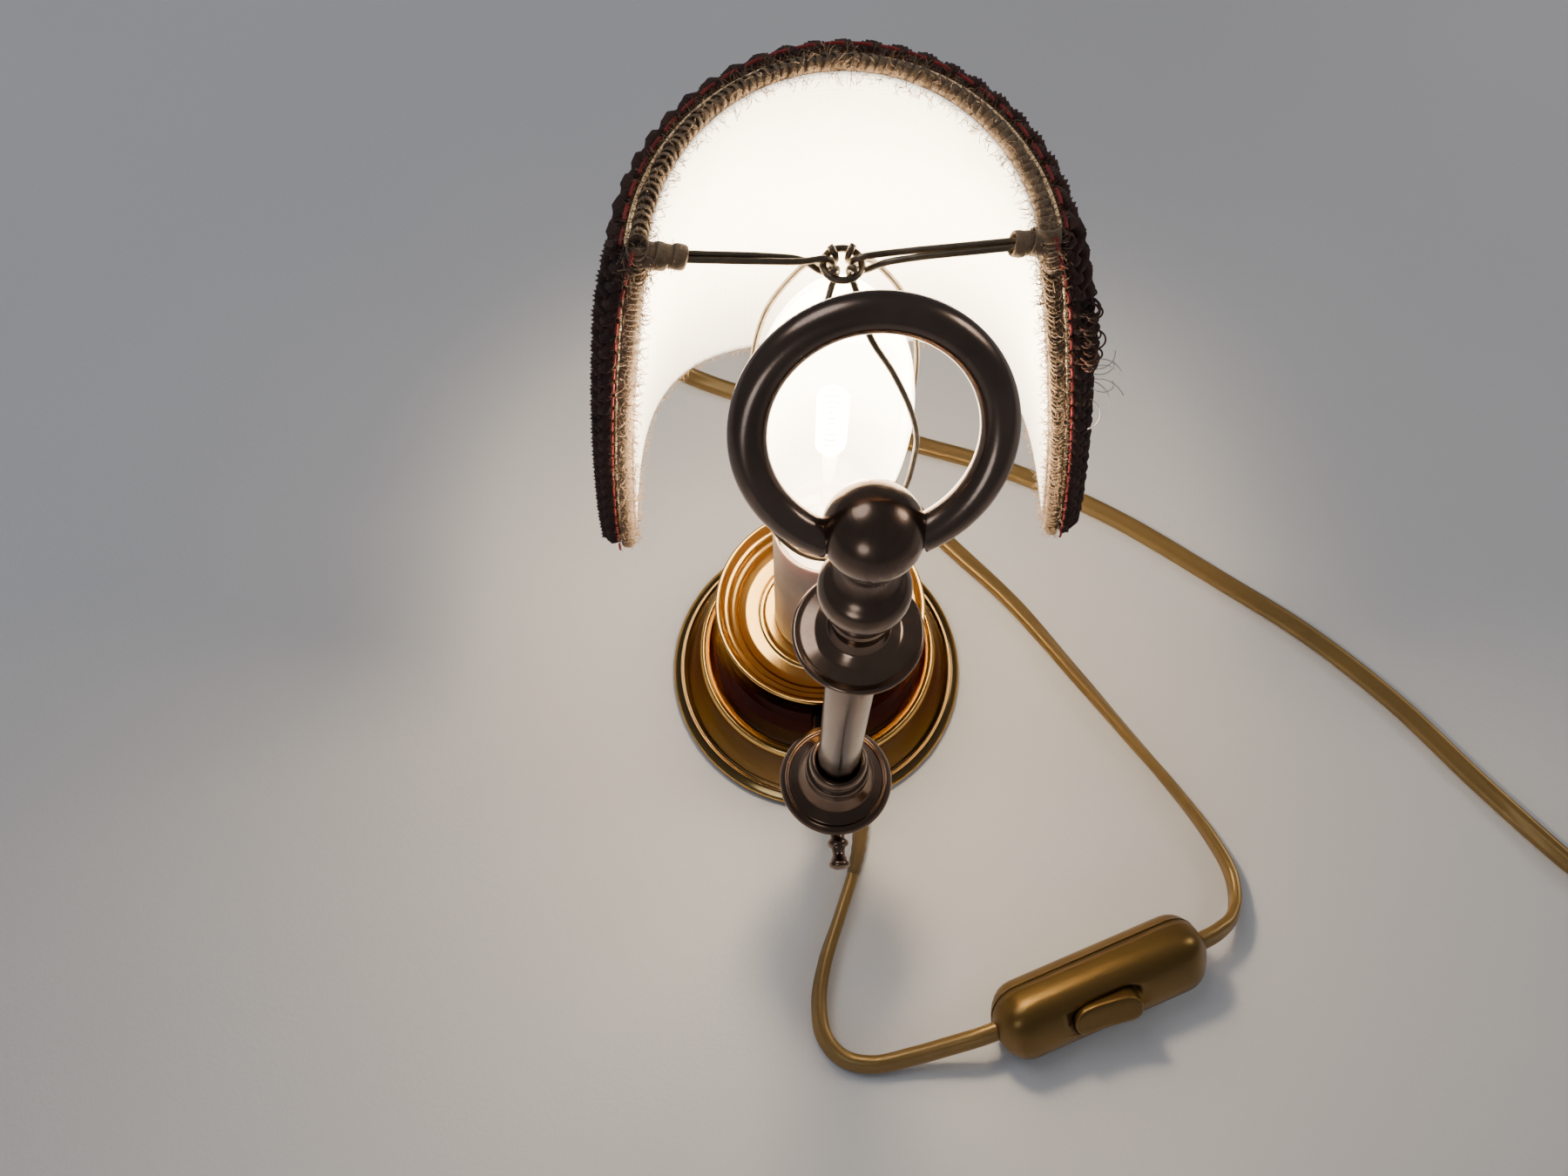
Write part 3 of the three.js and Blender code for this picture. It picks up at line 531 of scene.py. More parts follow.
rocker_turn = SWITCH_TURN @ Matrix.Rotation(math.radians(-7), 3, "Y")
rocker_at = SWITCH_AT + SWITCH_TURN @ Vector((ROCKER_X, 0, ROCKER_Z))
rocker_half = (3, 6, 8, 9, 9.5, 9.8, 9.95, 10)
rocker_stations = [-x for x in reversed(rocker_half)] + [0, *rocker_half]
rocker_rings = []
for x in rocker_stations:
    wide = 4.9 * math.sqrt(max(0.02, 1 - (max(0, abs(x) - 5.4) / 4.6) ** 2.4))
    high = rocker_height(x)
    ring = []
    for k in range(20):
        angle = math.pi * k / 19
        ring.append((wide * math.copysign(abs(math.cos(angle)) ** 0.35, math.cos(angle)),
                     high * (0.86 + 0.14 * abs(math.sin(angle)) ** 0.5)))
    ring += [(-wide, 0.2), (wide, 0.2)]
    rocker_rings.append([(-a * MM, b * MM) for a, b in ring])
rocker_path = [(rocker_at + rocker_turn @ Vector((x, 0, 0))) * MM for x in rocker_stations]
rocker = swept("switch_key", rocker_path, lambda i: rocker_rings[i],
               [rocker_turn @ Vector((0, 0, 1))] * len(rocker_path))
fit(rocker, switch_skin, "rocker", "switch_shell", "switch_rocker")

# ------------------------------------------------------------------ plug
# A slim two pin plug moulded in the cord's own plastic, with a ribbed grip where the cord comes
# out and two round nickel pins.
PLUG_AT = Vector((317.4, -66, 6.4))
plug_stations = [-12.4, -12, -9, -8.7, -8.2, -7.9, -6.6, -6.3, -5.8, -5.5, -4.2, -3, 0,
                 4, 8, 14, 19, 21, 21.8, 22]
plug_rings = []
for x in plug_stations:
    grip = 0.35 if x in (-8.7, -8.2, -6.3, -5.8) else 0.0
    grow = min(1.0, max(0.0, (x + 12.4) / 22))
    wide = 3.9 + 4.5 * math.sin(grow * math.pi / 2) - grip
    tall = 2.9 + 3.0 * math.sin(min(1, grow * 1.6) * math.pi / 2) - grip
    end = 0.55 if x == 22 else (0.2 if x == 21.8 else 0.0)
    ring = rounded_ring(36, wide - end, tall - end, 0.5)
    plug_rings.append([(across * MM, up * MM) for across, up in ring])
plug_path = [(PLUG_AT + Vector((0, x, 0))) * MM for x in plug_stations]
plug_ups = [Vector((0, 0, 1))] * len(plug_path)
plug_body = swept("plug_moulding", plug_path, lambda i: plug_rings[i], plug_ups)
fit(plug_body, switch_skin, "base", "switch_shell", "plug_body")


def lathe(name, profile, segments=96, place=(0, 0, 0), turn=None):
    """Turns an (r, z) profile in mm about +Z; a profile ending off the axis closes on itself."""
    vertices, faces, rings = [], [], []
    turn = turn or Matrix.Identity(3)
    for radius, z in profile:
        around = segments if radius > 1e-6 else 1
        rings.append([len(vertices) + k for k in range(around)])
        for k in range(around):
            angle = math.tau * k / segments
            spot = Vector((radius * math.cos(angle), radius * math.sin(angle), z))
            vertices.append(turn @ spot * MM + Vector(place) * MM)
    pairs = list(zip(rings, rings[1:]))
    if len(rings[0]) > 1 and len(rings[-1]) > 1:
        pairs.append((rings[-1], rings[0]))
    for low, high in pairs:
        for k in range(segments):
            corners = [low[k % len(low)], low[(k + 1) % len(low)],
                       high[(k + 1) % len(high)], high[k % len(high)]]
            faces.append(tuple(dict.fromkeys(corners)))
    obj = plain_mesh(name, vertices, faces)
    area = sum(r1 * z2 - r2 * z1 for (r1, z1), (r2, z2) in zip(profile, profile[1:] + profile[:1]))
    if area * turn.determinant() < 0:
        obj.data.flip_normals()
    return obj


def eased(profile, radius=0.4, steps=4):
    """Rounds the corners of an (r, z) profile, leaving its points on the axis."""
    out = []
    count = len(profile)
    whole = profile[0][0] > 1e-6 and profile[-1][0] > 1e-6
    for i, point in enumerate(profile):
        here = Vector(point)
        if (not whole and i in (0, count - 1)) or here.x < 1e-6:
            out.append(tuple(here))
            continue
        before = Vector(profile[i - 1])
        after = Vector(profile[(i + 1) % count])
        a = here + (before - here).normalized() * min(radius, (before - here).length * 0.45)
        b = here + (after - here).normalized() * min(radius, (after - here).length * 0.45)
        for k in range(steps + 1):
            t = k / steps
            out.append(tuple(a * (1 - t) ** 2 + here * (2 * t * (1 - t)) + b * t * t))
    return out


nickel = handled("bright_nickel", (0.72, 0.70, 0.66), (0.5, 0.48, 0.45), 0.16, 0.32, metal=1.0,
                 clouds=150, grain=2500, bump=0.03)
ALONG_Y = Matrix.Rotation(math.radians(-90), 3, "X")
pins, screws = [], []
for label, offset in (("plug_pin_b", -4.6), ("plug_pin_a", 4.6)):
    pin = [(0, 22.2), (2, 22.2), (2, 40.0), (1.6, 40.8), (0, 41)]
    pins.append(lathe(label + "_metal", eased(pin, 0.5), 32, PLUG_AT + Vector((offset, 0, 0)), ALONG_Y))
    fit(pins[-1], nickel, "base", "nickel", label)

steel = handled("plated_steel", (0.40, 0.37, 0.32), (0.22, 0.19, 0.15), 0.28, 0.5, metal=1.0,
                clouds=220, grain=2500, bump=0.05)
for label, x in (("switch_screw_b", 24), ("switch_screw_a", -24)):
    head = [(0, -7.9), (0.5, -7.9), (0.6, -8.1), (1.9, -8.1), (2.1, -7.8), (2.1, -6.4),
            (1.1, -6), (1.1, 5), (0, 5)]
    screws.append(lathe(label + "_head", eased(head, 0.15), 24,
                        SWITCH_AT + SWITCH_TURN @ Vector((x, 0, 0)), SWITCH_TURN))
    fit(screws[-1], steel, "base", "steel_wire", label)

# ------------------------------------------------------------------ base
# The foot and dish are spun from one brass sheet: a thin rolled rim, a sloping shoulder with a
# bead, a waisted wall, and a shallow stepped dish round the candle. It is polished and lacquered,
# over a cast weight and a felt disc. Its colour has painted shade on the wall and painted light in
# the dish and on the rims and bead.
lines, given, put = shader_group(
    "spinning_lines",
    [("Centre", VECTOR, (0, 0, 0)), ("Fineness", FLOAT, 2500.0)],
    [("Lines", FLOAT), ("Swirl", FLOAT)],
)
spot = add_node(lines, "ShaderNodeTexCoord").outputs["Object"]
offset = add_node(lines, "ShaderNodeVectorMath", {0: spot, 1: given["Centre"]}, operation="SUBTRACT")
parts = add_node(lines, "ShaderNodeSeparateXYZ", {"Vector": offset.outputs["Vector"]}).outputs
squares = math_node(lines, "ADD", math_node(lines, "MULTIPLY", parts["X"], parts["X"]),
                    math_node(lines, "MULTIPLY", parts["Y"], parts["Y"]))
out_from_axis = math_node(lines, "SQRT", squares)
reach = math_node(lines, "ADD", math_node(lines, "MULTIPLY", out_from_axis, given["Fineness"]),
                  math_node(lines, "MULTIPLY", parts["Z"], given["Fineness"]))
fine = add_node(lines, "ShaderNodeTexNoise", {"W": reach, "Scale": 1.0, "Detail": 3.0},
                noise_dimensions="1D").outputs["Fac"]
lines.links.new(fine, put["Lines"])
around = math_node(lines, "MULTIPLY", math_node(lines, "ARCTAN2", parts["Y"], parts["X"]), 1.5)
swirl_at = add_node(lines, "ShaderNodeCombineXYZ",
                    {"X": math_node(lines, "SINE", around), "Y": math_node(lines, "COSINE", around),
                     "Z": math_node(lines, "MULTIPLY", reach, 0.02)}).outputs["Vector"]
swirl = add_node(lines, "ShaderNodeTexNoise", {"Vector": swirl_at, "Scale": 2.2}).outputs["Fac"]
lines.links.new(swirl, put["Swirl"])


def turned_metal(name, bright, dull, smooth, rough, centre, clouds, dullness, bump, coat,
                 fineness=2500.0):
    """Spun or turned brass: handled_surface for the patina, spinning_lines for the tool marks."""
    material, tree, shader, skin = surfaced(name, bright, dull, smooth, rough, clouds, dullness, 1600.0)
    marks = use_group(tree, lines, Centre=centre, Fineness=fineness)
    streaked = math_node(tree, "MULTIPLY", math_node(tree, "SUBTRACT", marks["Swirl"], 0.5), 0.16)
    tree.links.new(math_node(tree, "ADD", skin["Roughness"], streaked), shader.inputs["Roughness"])
    raised(tree, shader, marks["Lines"], bump, 0.0002)
    settings(shader, Metallic=1.0, Coat_Weight=coat, Coat_Roughness=0.1)
    return material


def separate(tree):
    """The X, Y and Z of an object's own coordinates."""
    spot = add_node(tree, "ShaderNodeTexCoord").outputs["Object"]
    return add_node(tree, "ShaderNodeSeparateXYZ", {"Vector": spot}).outputs


patina_brass_painted_light, tree, shader, skin = surfaced("aged_brass_foot", (0.10, 0.06, 0.031), (0.052, 0.032, 0.02),
                                          0.12, 0.24, 26.0, 0.7, 1600.0)
marks = use_group(tree, lines, Centre=(0, 0, 0), Fineness=2500.0)
spot = separate(tree)
height = spot["Z"]
from_axis = math_node(tree, "SQRT", math_node(
    tree, "ADD", math_node(tree, "MULTIPLY", spot["X"], spot["X"]),
    math_node(tree, "MULTIPLY", spot["Y"], spot["Y"])))
# Painted shade and light: the wall above the bead is painted darkest as shade; the dish is painted golden
# as the bulb's light falling in it; the two rims and the bead carry painted highlights.
painted_shade_on_wall = add_node(tree, "ShaderNodeMix",
                       {0: math_node(tree, "GREATER_THAN", height, 0.0222), 6: skin["Color"],
                        7: (0.036, 0.022, 0.015, 1)}, data_type="RGBA").outputs[2]
# The dish inside, painted golden as lit by the bulb.
painted_light_dish_mask = math_node(tree, "MULTIPLY", math_node(tree, "LESS_THAN", from_axis, 0.0288),
                    math_node(tree, "GREATER_THAN", height, 0.0478))
# Painted highlights: bright bands on the bottom rolled rim, the bead and the dish rim.
painted_highlight_bands = add_node(tree, "ShaderNodeValToRGB", {"Fac": math_node(tree, "MULTIPLY", height, 1 / 0.06)})
ramp = painted_highlight_bands.color_ramp
ramp.interpolation = "EASE"
ramp.elements[0].position, ramp.elements[0].color = 0.03, (1, 1, 1, 1)
ramp.elements[1].position, ramp.elements[1].color = 0.095, (0.15, 0.15, 0.15, 1)
for position, value in ((0.325, 0.0), (0.345, 1.0), (0.36, 1.0), (0.37, 0.0), (0.89, 0.0), (0.915, 1.0)):
    ramp.elements.new(position).color = (value, value, value, 1)
# The patina, with the painted shade and the painted light laid over it.
painted_light_and_shade = add_node(tree, "ShaderNodeMix",
                    {0: math_node(tree, "MAXIMUM", painted_highlight_bands.outputs["Color"], painted_light_dish_mask),
                     6: painted_shade_on_wall, 7: (0.62, 0.39, 0.13, 1)}, data_type="RGBA").outputs[2]
tree.links.new(painted_light_and_shade, shader.inputs["Base Color"])
tree.links.new(skin["Roughness"], shader.inputs["Roughness"])
raised(tree, shader, marks["Lines"], 0.03, 0.0002)
settings(shader, Metallic=1.0, Specular_Tint=(0.42, 0.34, 0.26, 1), Coat_Weight=0.06,
         Coat_Roughness=0.08)
outer = [
    (46.5, 1.8), (46.5, 3.0), (45.5, 4.0), (43.9, 5.1), (43, 4.75), (42.4, 5.5), (40.6, 10),
    (38.4, 16), (37, 19), (36.7, 20.3), (36.2, 21.3), (35.6, 21.7), (34.8, 21.2), (34.3, 20.6),
    (32.8, 24), (31, 30), (29.8, 37), (29.2, 44), (29.1, 50), (29.4, 54), (30, 55.6), (30, 56.7),
    (29.5, 57.1),
]
inner = [
    (28.7, 56.7), (28.3, 56), (27.6, 55), (26.3, 54.6), (25.7, 53.2), (24.2, 52.6), (23.4, 51.2),
    (21.3, 50.1), (17.8, 50), (17.2, 50.35), (16.4, 50.35), (15.8, 50), (5.4, 50), (5.4, 49),
    (21.3, 48.9), (24.4, 50), (27.2, 52), (27.9, 44), (28.5, 37), (29.7, 30), (31.5, 24),
    (33.2, 19.8), (35.6, 18.6), (37.2, 15.4), (39.4, 9.4), (41.4, 4.3), (42.7, 3.5), (45, 3.2),
    (45.3, 1.9),
]
base_body = lathe("base_spinning", eased(outer + inner, 0.55), 160)
fit(base_body, patina_brass_painted_light, "base", "brass", "base_shell")

felt = fibrous("dark_felt", (0.05, 0.08, 0.05), (0.02, 0.035, 0.02), 400.0, 0.6, 0.95, 0.3, smooth=0.9)
iron = handled("cast_iron", (0.06, 0.06, 0.062), (0.03, 0.028, 0.026), 0.6, 0.85, metal=0.5,
               clouds=90, grain=700, bump=0.5, depth=0.0005)


def dress(node, material):
    """Gives a CAD node its finish."""
    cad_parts[node].data.materials.clear()
    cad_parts[node].data.materials.append(material)


dress("felt_pad", felt)
dress("base_weight", iron)
for node in ("centre_tube", "lock_nut", "dish_nut"):
    dress(node, steel)

# ------------------------------------------------------------------ candle sleeve and bulb
# A cream card sleeve stands in the dish over the lampholder. The small screw candle bulb is clear
# glass with a tapering tip, lit, with its filament on a glass stem.
# The sleeve is cream; its darker grey brown colour here is painted shade, as it stands in shade under the
# bulb.
candle, tree, shader, out = surfaced("candle_sleeve_cream", (0.50, 0.38, 0.30), (0.33, 0.24, 0.18),
                                     0.4, 0.6, 70.0, 0.5, 1400.0)
tree.links.new(out["Roughness"], shader.inputs["Roughness"])
raised(tree, shader, out["Height"], 0.12, 0.0002)
settings(shader, Subsurface_Weight=0.15, Subsurface_Scale=0.003)
sleeve_profile = [(12.2, 50.3), (13, 50.3), (13, 107), (12.8, 108), (12.4, 108), (12.2, 107.4)]
sleeve = lathe("candle_tube", eased(sleeve_profile, 0.25), 96)
fit(sleeve, candle, "base", "candle", "candle_sleeve")

porcelain = handled("glazed_holder", (0.72, 0.70, 0.66), (0.55, 0.52, 0.47), 0.12, 0.25, clouds=80,
                    coat=0.5)
dress("lampholder", porcelain)
cap_profile = [(0, 76.3), (2.4, 76.3), (3, 78), (5, 80.6), (6.4, 82)]
for turn_number in range(7):
    foot = 83.0 + 1.75 * turn_number
    cap_profile += [(6.3, foot), (6.85, foot + 0.55), (6.9, foot + 0.95), (6.35, foot + 1.5)]
cap_profile += [(6.4, 96.4), (6.4, 103.4), (7.3, 105.7), (0, 105.7)]
cap = lathe("bulb_screw_cap", eased(cap_profile, 0.25), 64)
fit(cap, nickel, "base", "nickel", "bulb_cap")

glass_out = [(6.2, 106), (7, 112), (9.6, 120), (12.9, 130), (15.3, 142), (16.4, 155), (16.3, 166),
             (14.4, 180), (11, 190), (6.8, 197.5), (3, 202), (0, 204)]


def fair(profile):
    """A smooth (r, z) curve through a profile's points."""
    out = [(max(0.0, p.x), p.y) for p in catmull([(r, z, 0) for r, z in profile], 1.0)]
    out[0], out[-1] = profile[0], profile[-1]
    return out


bulb = lathe("bulb_envelope", fair(glass_out), 96)
thick = bulb.modifiers.new("wall", "SOLIDIFY")
thick.thickness = 0.8 * MM
thick.offset = -1
finish_modifiers(bulb)
glass, tree, shader = new_material("clear_lit_glass")
settings(shader, Base_Color=(1.0, 0.97, 0.92, 1), Roughness=0.02, IOR=1.45,
         Transmission_Weight=1.0)
haze = add_node(tree, "ShaderNodeMapRange",
                {"Value": separate(tree)["Z"], "From Min": 0.128, "From Max": 0.15}).outputs["Result"]
glow_colour = two_tone(tree, haze, (0.10, 0.03, 0.008), (1.0, 0.86, 0.62)).outputs["Color"]
tree.links.new(glow_colour, shader.inputs["Emission Color"])
settings(shader, Emission_Strength=4.0)
bulb.visible_shadow = False
fit(bulb, glass, "base", "glass", "bulb_glass")

glow, tree, shader = new_material("glowing_filament")
hot = add_node(tree, "ShaderNodeMapRange",
               {"Value": separate(tree)["Z"], "From Min": 0.140, "From Max": 0.152}).outputs["Result"]
hot_colour = two_tone(tree, hot, (0.35, 0.08, 0.02), (1.0, 0.78, 0.48)).outputs["Color"]
tree.links.new(hot_colour, shader.inputs["Emission Color"])
settings(shader, Emission_Strength=40.0, Base_Color=(0.9, 0.85, 0.8, 1))
stem_profile = [(0, 106.2), (4, 106.2), (3.2, 112), (1.9, 120), (1.4, 134), (1.2, 146), (0, 146.4)]
glass_stem = lathe("filament_stem", fair(stem_profile), 32)
coil_path = []
for k in range(181):
    angle = math.tau * k / 20
    coil_path.append(Vector((3.0 * math.cos(angle), 3.0 * math.sin(angle), 148 + 20 * k / 180)) * MM)
filament = swept("filament_wire", coil_path, round_section(0.45 * MM, 6),
                 [Vector((0, 0, 1))] * len(coil_path))
filament.data.materials.append(glow)
glass_stem.data.materials.append(glass)
for piece in (glass_stem, filament):
    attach(piece, "base")
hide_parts("bulb_filament")

# ------------------------------------------------------------------ side arm, socket and stem
# A round brass arm carries a turned socket. The stem stands in it: a plain rod, a flared disc, a
# bell collar and a ball, each turned from brass and bronzed dark, with a thumb screw to clamp it.
STEM_Y = -53.9
stem_centre = (0, STEM_Y * MM, 0)
bronze = turned_metal("bronzed_brass", (0.27, 0.17, 0.11), (0.12, 0.075, 0.055), 0.14, 0.3,
                      centre=stem_centre, clouds=60, dullness=0.9, bump=0.05, fineness=3200.0,
                      coat=0.3)
rod_bronze = turned_metal("rod_bronze", (0.17, 0.105, 0.07), (0.10, 0.06, 0.042), 0.14, 0.24,
                          centre=stem_centre, clouds=26, dullness=0.5, bump=0.025, coat=0.15)


def turned_piece(name, node, profile, body, material, ease=0.35, segments=96):
    piece = lathe(name, eased(profile, ease) if ease else profile, segments, (0, STEM_Y, 0))
    fit(piece, material, body, "old_brass", node)


socket = [(0, 31), (2.4, 31.3), (4, 33), (6, 34), (8, 35.4), (8, 61.6), (7.2, 63), (6.8, 64),
          (5.4, 64), (5.4, 44), (0, 44)]
turned_piece("arm_socket", "stem_socket", socket, "base", bronze, 0.6)
flange = [
    (5.3, 64.3), (9, 64.3), (13.4, 66.2), (14.3, 67.4), (14.6, 68.4), (14.1, 69.3), (12.9, 70.6),
    (12.4, 70.1), (11.8, 70.8), (9.6, 73.2), (8, 77), (7.4, 80), (8, 81.2), (7.9, 82.6), (6.8, 83.6),
    (6.9, 85), (7.2, 86.4), (6.9, 87.8), (6.3, 88.6), (5.5, 88.5), (5.25, 87.6),
]
turned_piece("foot_flange", "lower_flange", flange, "base", rod_bronze, 0.45, 128)
rod = [(0, 44.3), (4.4, 44.3), (5, 45), (5, 170.4), (0, 170.4)]
turned_piece("stem_bar", "stem_rod", rod, "stem", rod_bronze, 0.3)
disc = [
    (0, 170.7), (5.8, 170.7), (6.6, 171.8), (8.6, 173.8), (11.2, 175.8), (11.8, 176.7), (11.4, 177.5),
    (10.2, 177.4), (7.6, 178), (5.6, 179.6), (4.6, 181.6), (4.4, 184.6), (0, 184.6),
]
turned_piece("flared_disc", "upper_disc", disc, "stem", bronze, 0.4, 128)
collar = [
    (0, 184.9), (4.6, 184.9), (5.6, 186), (5.2, 187.4), (5.4, 189), (6.8, 192.2), (7.65, 195.6),
    (7.65, 198), (6.9, 199.8), (5.2, 201.2), (3.9, 203.4), (3.6, 206), (4.2, 208), (4.8, 209.2),
    (4.9, 210.8), (4.4, 211.4), (2.6, 210.3), (0, 209.9),
]
turned_piece("bell_turning", "bell_collar", collar, "stem", bronze, 0.9)
BALL_Z = 218
ball_curve = [(7.6 * math.sin(math.pi * k / 40), BALL_Z - 7.6 * math.cos(math.pi * k / 40))
              for k in range(41)]
ball_curve[0], ball_curve[-1] = (0, BALL_Z - 7.6), (0, BALL_Z + 7.6)
turned_piece("stem_ball_turning", "stem_ball", ball_curve, "stem", bronze, ease=0)

arm_turn = Matrix.Rotation(math.radians(90), 3, "X")
bar = eased([(0, 14.6), (4.2, 14.6), (4.2, 45.6), (0, 45.6)], 0.3)
arm = lathe("arm_bar", bar, 64, (0, 0, 42), arm_turn)
fit(arm, patina_brass_painted_light, "base", "brass", "side_arm")
thumb = [(0, 5.4), (1.9, 5.4), (1.9, 13.4), (2.8, 14), (2.8, 15), (1.8, 15.8), (1.6, 17.6),
         (2.4, 19), (2.8, 19.8), (2.6, 20.6), (1.4, 21.2), (0, 21.3)]
thumb_screw = lathe("thumb_turning", eased(thumb, 0.45), 48, (0, STEM_Y, 57), arm_turn)
fit(thumb_screw, bronze, "thumb", "old_brass", "thumb_screw")

# The ring handle is a bent brass bar whose two ends turn on a pin through the ball.
LEAN = math.radians(35)
RING_R, RING_TUBE, RING_RISE = 17.4, 2.8, 15.1
ring_points, ring_ups = [], []
first = math.asin(6.6 / RING_R)
for k in range(121):
    angle = -math.pi / 2 + first + (math.tau - 2 * first) * k / 120
    along = RING_RISE + RING_R * math.sin(angle)
    across = RING_R * math.cos(angle)
    point = Vector((across, STEM_Y + along * math.sin(LEAN), BALL_Z + along * math.cos(LEAN)))
    ring_points.append(point * MM)
    ring_ups.append(Vector((0, -math.cos(LEAN), math.sin(LEAN))))
ring_handle = swept("ring_bail", ring_points, round_section(RING_TUBE * MM, 28), ring_ups)
ring_bronze = handled("ring_bronze", (0.25, 0.17, 0.125), (0.11, 0.075, 0.06), 0.16, 0.32, metal=1.0,
                      clouds=60, dullness=0.9, grain=1800, bump=0.05, coat=0.3)
fit(ring_handle, ring_bronze, "ring", "old_brass", "ring_handle")

# ------------------------------------------------------------------ bulb clip
# Spring wire: a small ring over the bulb's tip, and two long loops hooked through it that close on
# the bulb from both sides.
CLIP_Z = 209
clip_ring_path, clip_ups = [], []
for k in range(40):
    angle = math.tau * k / 40
    clip_ring_path.append(Vector((3.3 * math.cos(angle), 3.3 * math.sin(angle), CLIP_Z)) * MM)
    clip_ups.append(Vector((0, 0, 1)))
clip_ring = swept("clip_eye", clip_ring_path, round_section(0.65 * MM, 12), clip_ups, close=True)
wire_metal = handled("clip_wire", (0.20, 0.155, 0.105), (0.09, 0.065, 0.045), 0.3, 0.5, metal=1.0,
                     clouds=300, grain=2500, bump=0.05)
clip_half = [
    (2.03, 2.6, 1.75), (1.17, 1.5, 0.9), (1.05, 1.34, -0.6), (1.8, 2.3, -2.2), (2.9, 4.2, -5.2),
    (5.6, 7.8, -9), (11, 9.6, -18), (15, 10.4, -28),
    (17.4, 9.6, -40), (18, 8.4, -52), (17.4, 8.4, -64), (15.2, 9, -74), (11.4, 11.4, -83),
    (6, 13.6, -88), (0, 14.2, -89.6),
]
clip_back = [
    (-5.6, 13.6, -88), (-10.6, 11.4, -83), (-14, 9.2, -74), (-15.8, 9, -64), (-16.2, 9.2, -52),
    (-15.4, 10.8, -40), (-12.8, 11.4, -28), (-9, 10.2, -18), (-4.4, 8.2, -9),
]
clip_hook = [(-x, y, z) for x, y, z in reversed(clip_half[:5])]
clip_route = clip_half + clip_back + clip_hook


def steady_ups(path, start):
    """Carries an up vector along a path without twist."""
    ups, up = [], start
    for i in range(len(path)):
        tangent = (path[min(i + 1, len(path) - 1)] - path[max(i - 1, 0)]).normalized()
        up = (up - up.dot(tangent) * tangent).normalized()
        ups.append(up.copy())
    return ups


loops = []
for name, facing in (("clip_loop_far", 1), ("clip_loop_near", -1)):
    route = [(x * facing, y * facing, z + CLIP_Z) for x, y, z in clip_route]
    path = [p * MM for p in catmull(route, 0.9)]
    loop = swept(name + "_wire", path, round_section(0.6 * MM, 10), steady_ups(path, Vector((1, 0.2, 0))))
    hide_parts(name)
    loops.append(loop)
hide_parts("clip_ring")
for piece in (clip_ring, *loops):
    piece.data.materials.append(wire_metal)
    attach(piece, "clip")

# ------------------------------------------------------------------ shade frame
# A half shield frame in steel wire, wound tightly with beige cotton tape. Two arms, each one wire
# bent double round the clip ring, are bound to the frame's two upper corners.
TOP_A, TOP_B, TOP_Z, TOP_SQUARE = 34.0, 40.5, 4.0, 2.0
LOW_A, LOW_B, LOW_Z, LOW_SQUARE = 52.6, 58.4, -105.0, 3.4
BOW = 1.5
SHADE_TURN = Matrix.Rotation(math.radians(-1.9), 3, "Y") @ Matrix.Rotation(math.radians(-2.4), 3, "Z")


def shade_place(point):
    """From the shade's own place, in mm about the clip ring, to the scene."""
    return (SHADE_TURN @ Vector(point) + Vector((0, 0, CLIP_Z))) * MM


def shade_point(angle, t, offset):
    a = LOW_A + (TOP_A - LOW_A) * t
    b = LOW_B + (TOP_B - LOW_B) * t
    z = LOW_Z + (TOP_Z - LOW_Z) * t
    square = LOW_SQUARE + (TOP_SQUARE - LOW_SQUARE) * t
    grow = offset + BOW * math.sin(math.pi * min(1.0, max(0.0, t)))
    c, s = math.cos(angle), math.sin(angle)
    reach = (abs(c) ** square + abs(s) ** square) ** (-1 / square)
    return Vector(((a + grow) * c * reach, (b + grow) * s * reach, z))


def wire_path(name, points):
    """A chain of edges for a geometry tree to follow, with the shade's outward side on it."""
    mesh = bpy.data.meshes.new(name)
    mesh.from_pydata([tuple(p) for p, _ in points], [(i, i + 1) for i in range(len(points) - 1)], [])
    outward = mesh.attributes.new("outward", "FLOAT_VECTOR", "POINT")
    for i, (_, out_dir) in enumerate(points):
        outward.data[i].vector = out_dir
    obj = bpy.data.objects.new(name, mesh)
    bpy.context.scene.collection.objects.link(obj)
    return obj


def geometry_tree(name, inputs):
    group = bpy.data.node_groups.new(name, "GeometryNodeTree")
    group.interface.new_socket("Geometry", in_out="INPUT", socket_type="NodeSocketGeometry")
    for label, kind, value in inputs:
        socket = group.interface.new_socket(label, in_out="INPUT", socket_type=kind)
        if value is not None:
            socket.default_value = value
    group.interface.new_socket("Geometry", in_out="OUTPUT", socket_type="NodeSocketGeometry")
    return group, group.nodes.new("NodeGroupInput").outputs, group.nodes.new("NodeGroupOutput").inputs


def follow(tree, chain, length):
    """Even points on a curve along a chain of edges, with its tangent and its outward side."""
    line = add_node(tree, "GeometryNodeMeshToCurve", {"Mesh": chain}).outputs["Curve"]
    even = add_node(tree, "GeometryNodeResampleCurve", {"Curve": line, "Length": length}, mode="LENGTH")
    tangent = add_node(tree, "GeometryNodeInputTangent").outputs["Tangent"]
    outward = add_node(tree, "GeometryNodeInputNamedAttribute", {"Name": "outward"},
                       data_type="FLOAT_VECTOR").outputs["Attribute"]
    return even.outputs["Curve"], tangent, outward


def along_line(tree, tangent, outward):
    return add_node(tree, "FunctionNodeAxesToRotation",
                    {"Primary Axis": tangent, "Secondary Axis": outward},
                    primary_axis="Z", secondary_axis="X").outputs["Rotation"]


def turned_by(tree, rotation, angles):
    spin = add_node(tree, "FunctionNodeEulerToRotation", {0: angles}).outputs[0]
    return add_node(tree, "FunctionNodeRotateRotation", {"Rotation": rotation, "Rotate By": spin},
                    rotation_space="LOCAL").outputs["Rotation"]


